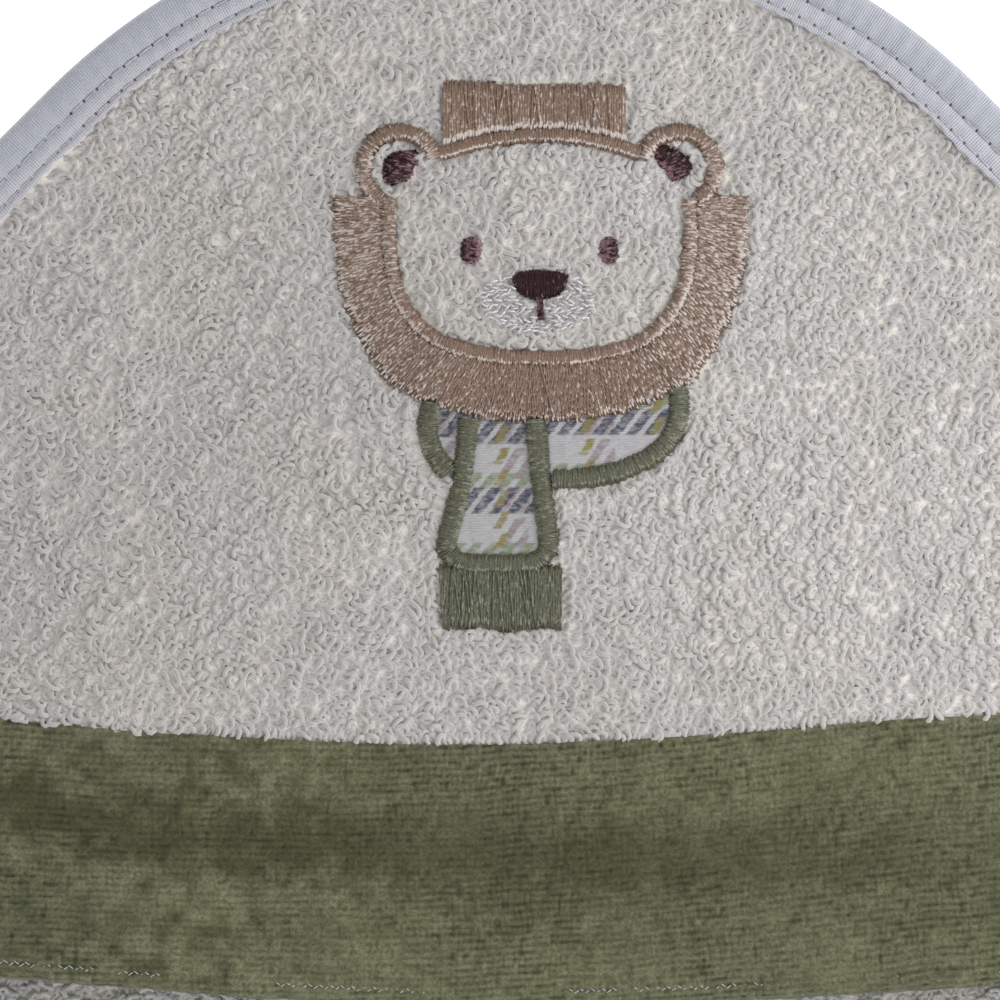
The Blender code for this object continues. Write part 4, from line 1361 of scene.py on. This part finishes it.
def hood_roots(covered):
    """Places for the hood's loops: scattered over the panel, and a row along its seam."""
    x_range, y_range = HOOD_FIELD
    roots = scattered(x_range, y_range, 121)
    x = np.arange(-190, 190, 1.1)
    roots = roots[roots[:, 1] > pile_start(roots[:, 0]) + 0.6]
    roots = np.vstack([roots, np.column_stack([x, pile_start(x) + 0.15])])
    roots = roots[edge_distance(*roots.T) > PILE_INSETS["hood"]]
    distance, _ = motif_distance(roots - MOTIF, covered)
    return roots[distance > 0.05]


def shorter(points):
    """The scale of the hood's loops, which are shorter under the muzzle."""
    gap = (points - MOTIF - MUZZLE_CENTRE) / MUZZLE_RADII
    return 0.85 + 0.15 * smoothstep((np.hypot(*gap.T) - 0.85) / 0.3)


def turned(points, angle):
    """Lays the loops along the seam and the binding flat beside them, rather than over them."""
    x, y = points.T
    beside_seam = np.clip(1 - (y - seam_line(x) - 0.2) / 2.2, 0, 1)
    beside_edge = np.clip(1 - (edge_distance(x, y) - PILE_INSETS["hood"]) / 2.5, 0, 1)
    inward = -unit(np.column_stack([x, np.maximum(y - CORNER_CENTRE, np.abs(x))]))
    push = beside_seam[:, None] * (0.0, 1.0) + beside_edge[:, None] * inward
    wanted = heading(angle) * (1 - 0.5 * (beside_seam + beside_edge))[:, None] + 0.42 * push
    return np.arctan2(wanted[:, 1], wanted[:, 0])


def build_hood(finishes, shapes, patches):
    corner = "hooded_corner"
    ground = fasten(make_panel(finishes["ground"]), corner, "cream_terry", "hood_panel")
    covered = covered_shapes(shapes, patches)
    pile = pile_pieces(
        "hood_pile", hood_roots(covered), lambda x, y: hood_low(x, y) + PANEL_BASE - 0.3,
        finishes["terry"], 122, covered, short=shorter, turn=turned,
    )
    for piece in pile:
        fasten(piece, corner, "cream_terry")

    band = fasten(make_band(finishes["velour"]), corner, "olive_velour", "hood_band")
    for label, part in VELOUR_PARTS.items():
        piece = fasten(make_band_pile(f"velour_{label}", *part, finishes["velour"]), corner, "olive_velour")

    fasten(make_hem_stitches(finishes["sewing"]), corner, "sewing_thread", "band_hem_stitch")
    fasten(make_seam_stitches(finishes["sewing"]), corner, "sewing_thread", "band_seam_stitch")
    backing = fasten(make_backing(finishes["backing"]), corner, "stabiliser", "embroidery_backing")


def build_lion(finishes, shapes, patches):
    corner = "hooded_corner"
    for number, (name, how) in enumerate(SATIN.items()):
        options = dict(how)
        thread = options.pop("thread")
        piece = satin(f"stitched_{name}", *shapes[name], finishes[thread], seed=200 + number, **options)
        fasten(piece, corner, f"{thread}_thread", name)
    stem = column_sides(STEM, STEM_WIDTH, 10)
    piece = satin("stitched_mouth_stem", *stem, finishes["brown"], seed=231, **STEM_SATIN)
    fasten(piece, corner, "brown_thread", "mouth_stem")
    fasten(make_muzzle(finishes["white"]), corner, "white_thread", "muzzle")

    for label, grid in patches.items():
        piece = make_patch(f"printed_{label}", grid, finishes["printed"], PATCH_SHIFTS[label])
        fasten(piece, corner, "printed_cotton", f"scarf_patch_{label}")
        width, height, area = patch_size(grid)


def main():
    finishes = {
        "terry": terry_finish(), "ground": ground_finish(), "cloth": body_finish(), "jersey": jersey_finish(),
        "velour": velour_finish(),
    }
    for name, look in THREADS.items():
        finishes[name] = thread_finish(f"{name}_thread", **look)
    finishes["printed"] = printed_finish()
    finishes["backing"] = backing_finish()
    shapes, patches = guides(), scarf_patches()
    build_cloth(finishes)
    build_binding(finishes)
    build_hood(finishes, shapes, patches)
    build_lion(finishes, shapes, patches)
    make_floor()
    make_studio()


main()
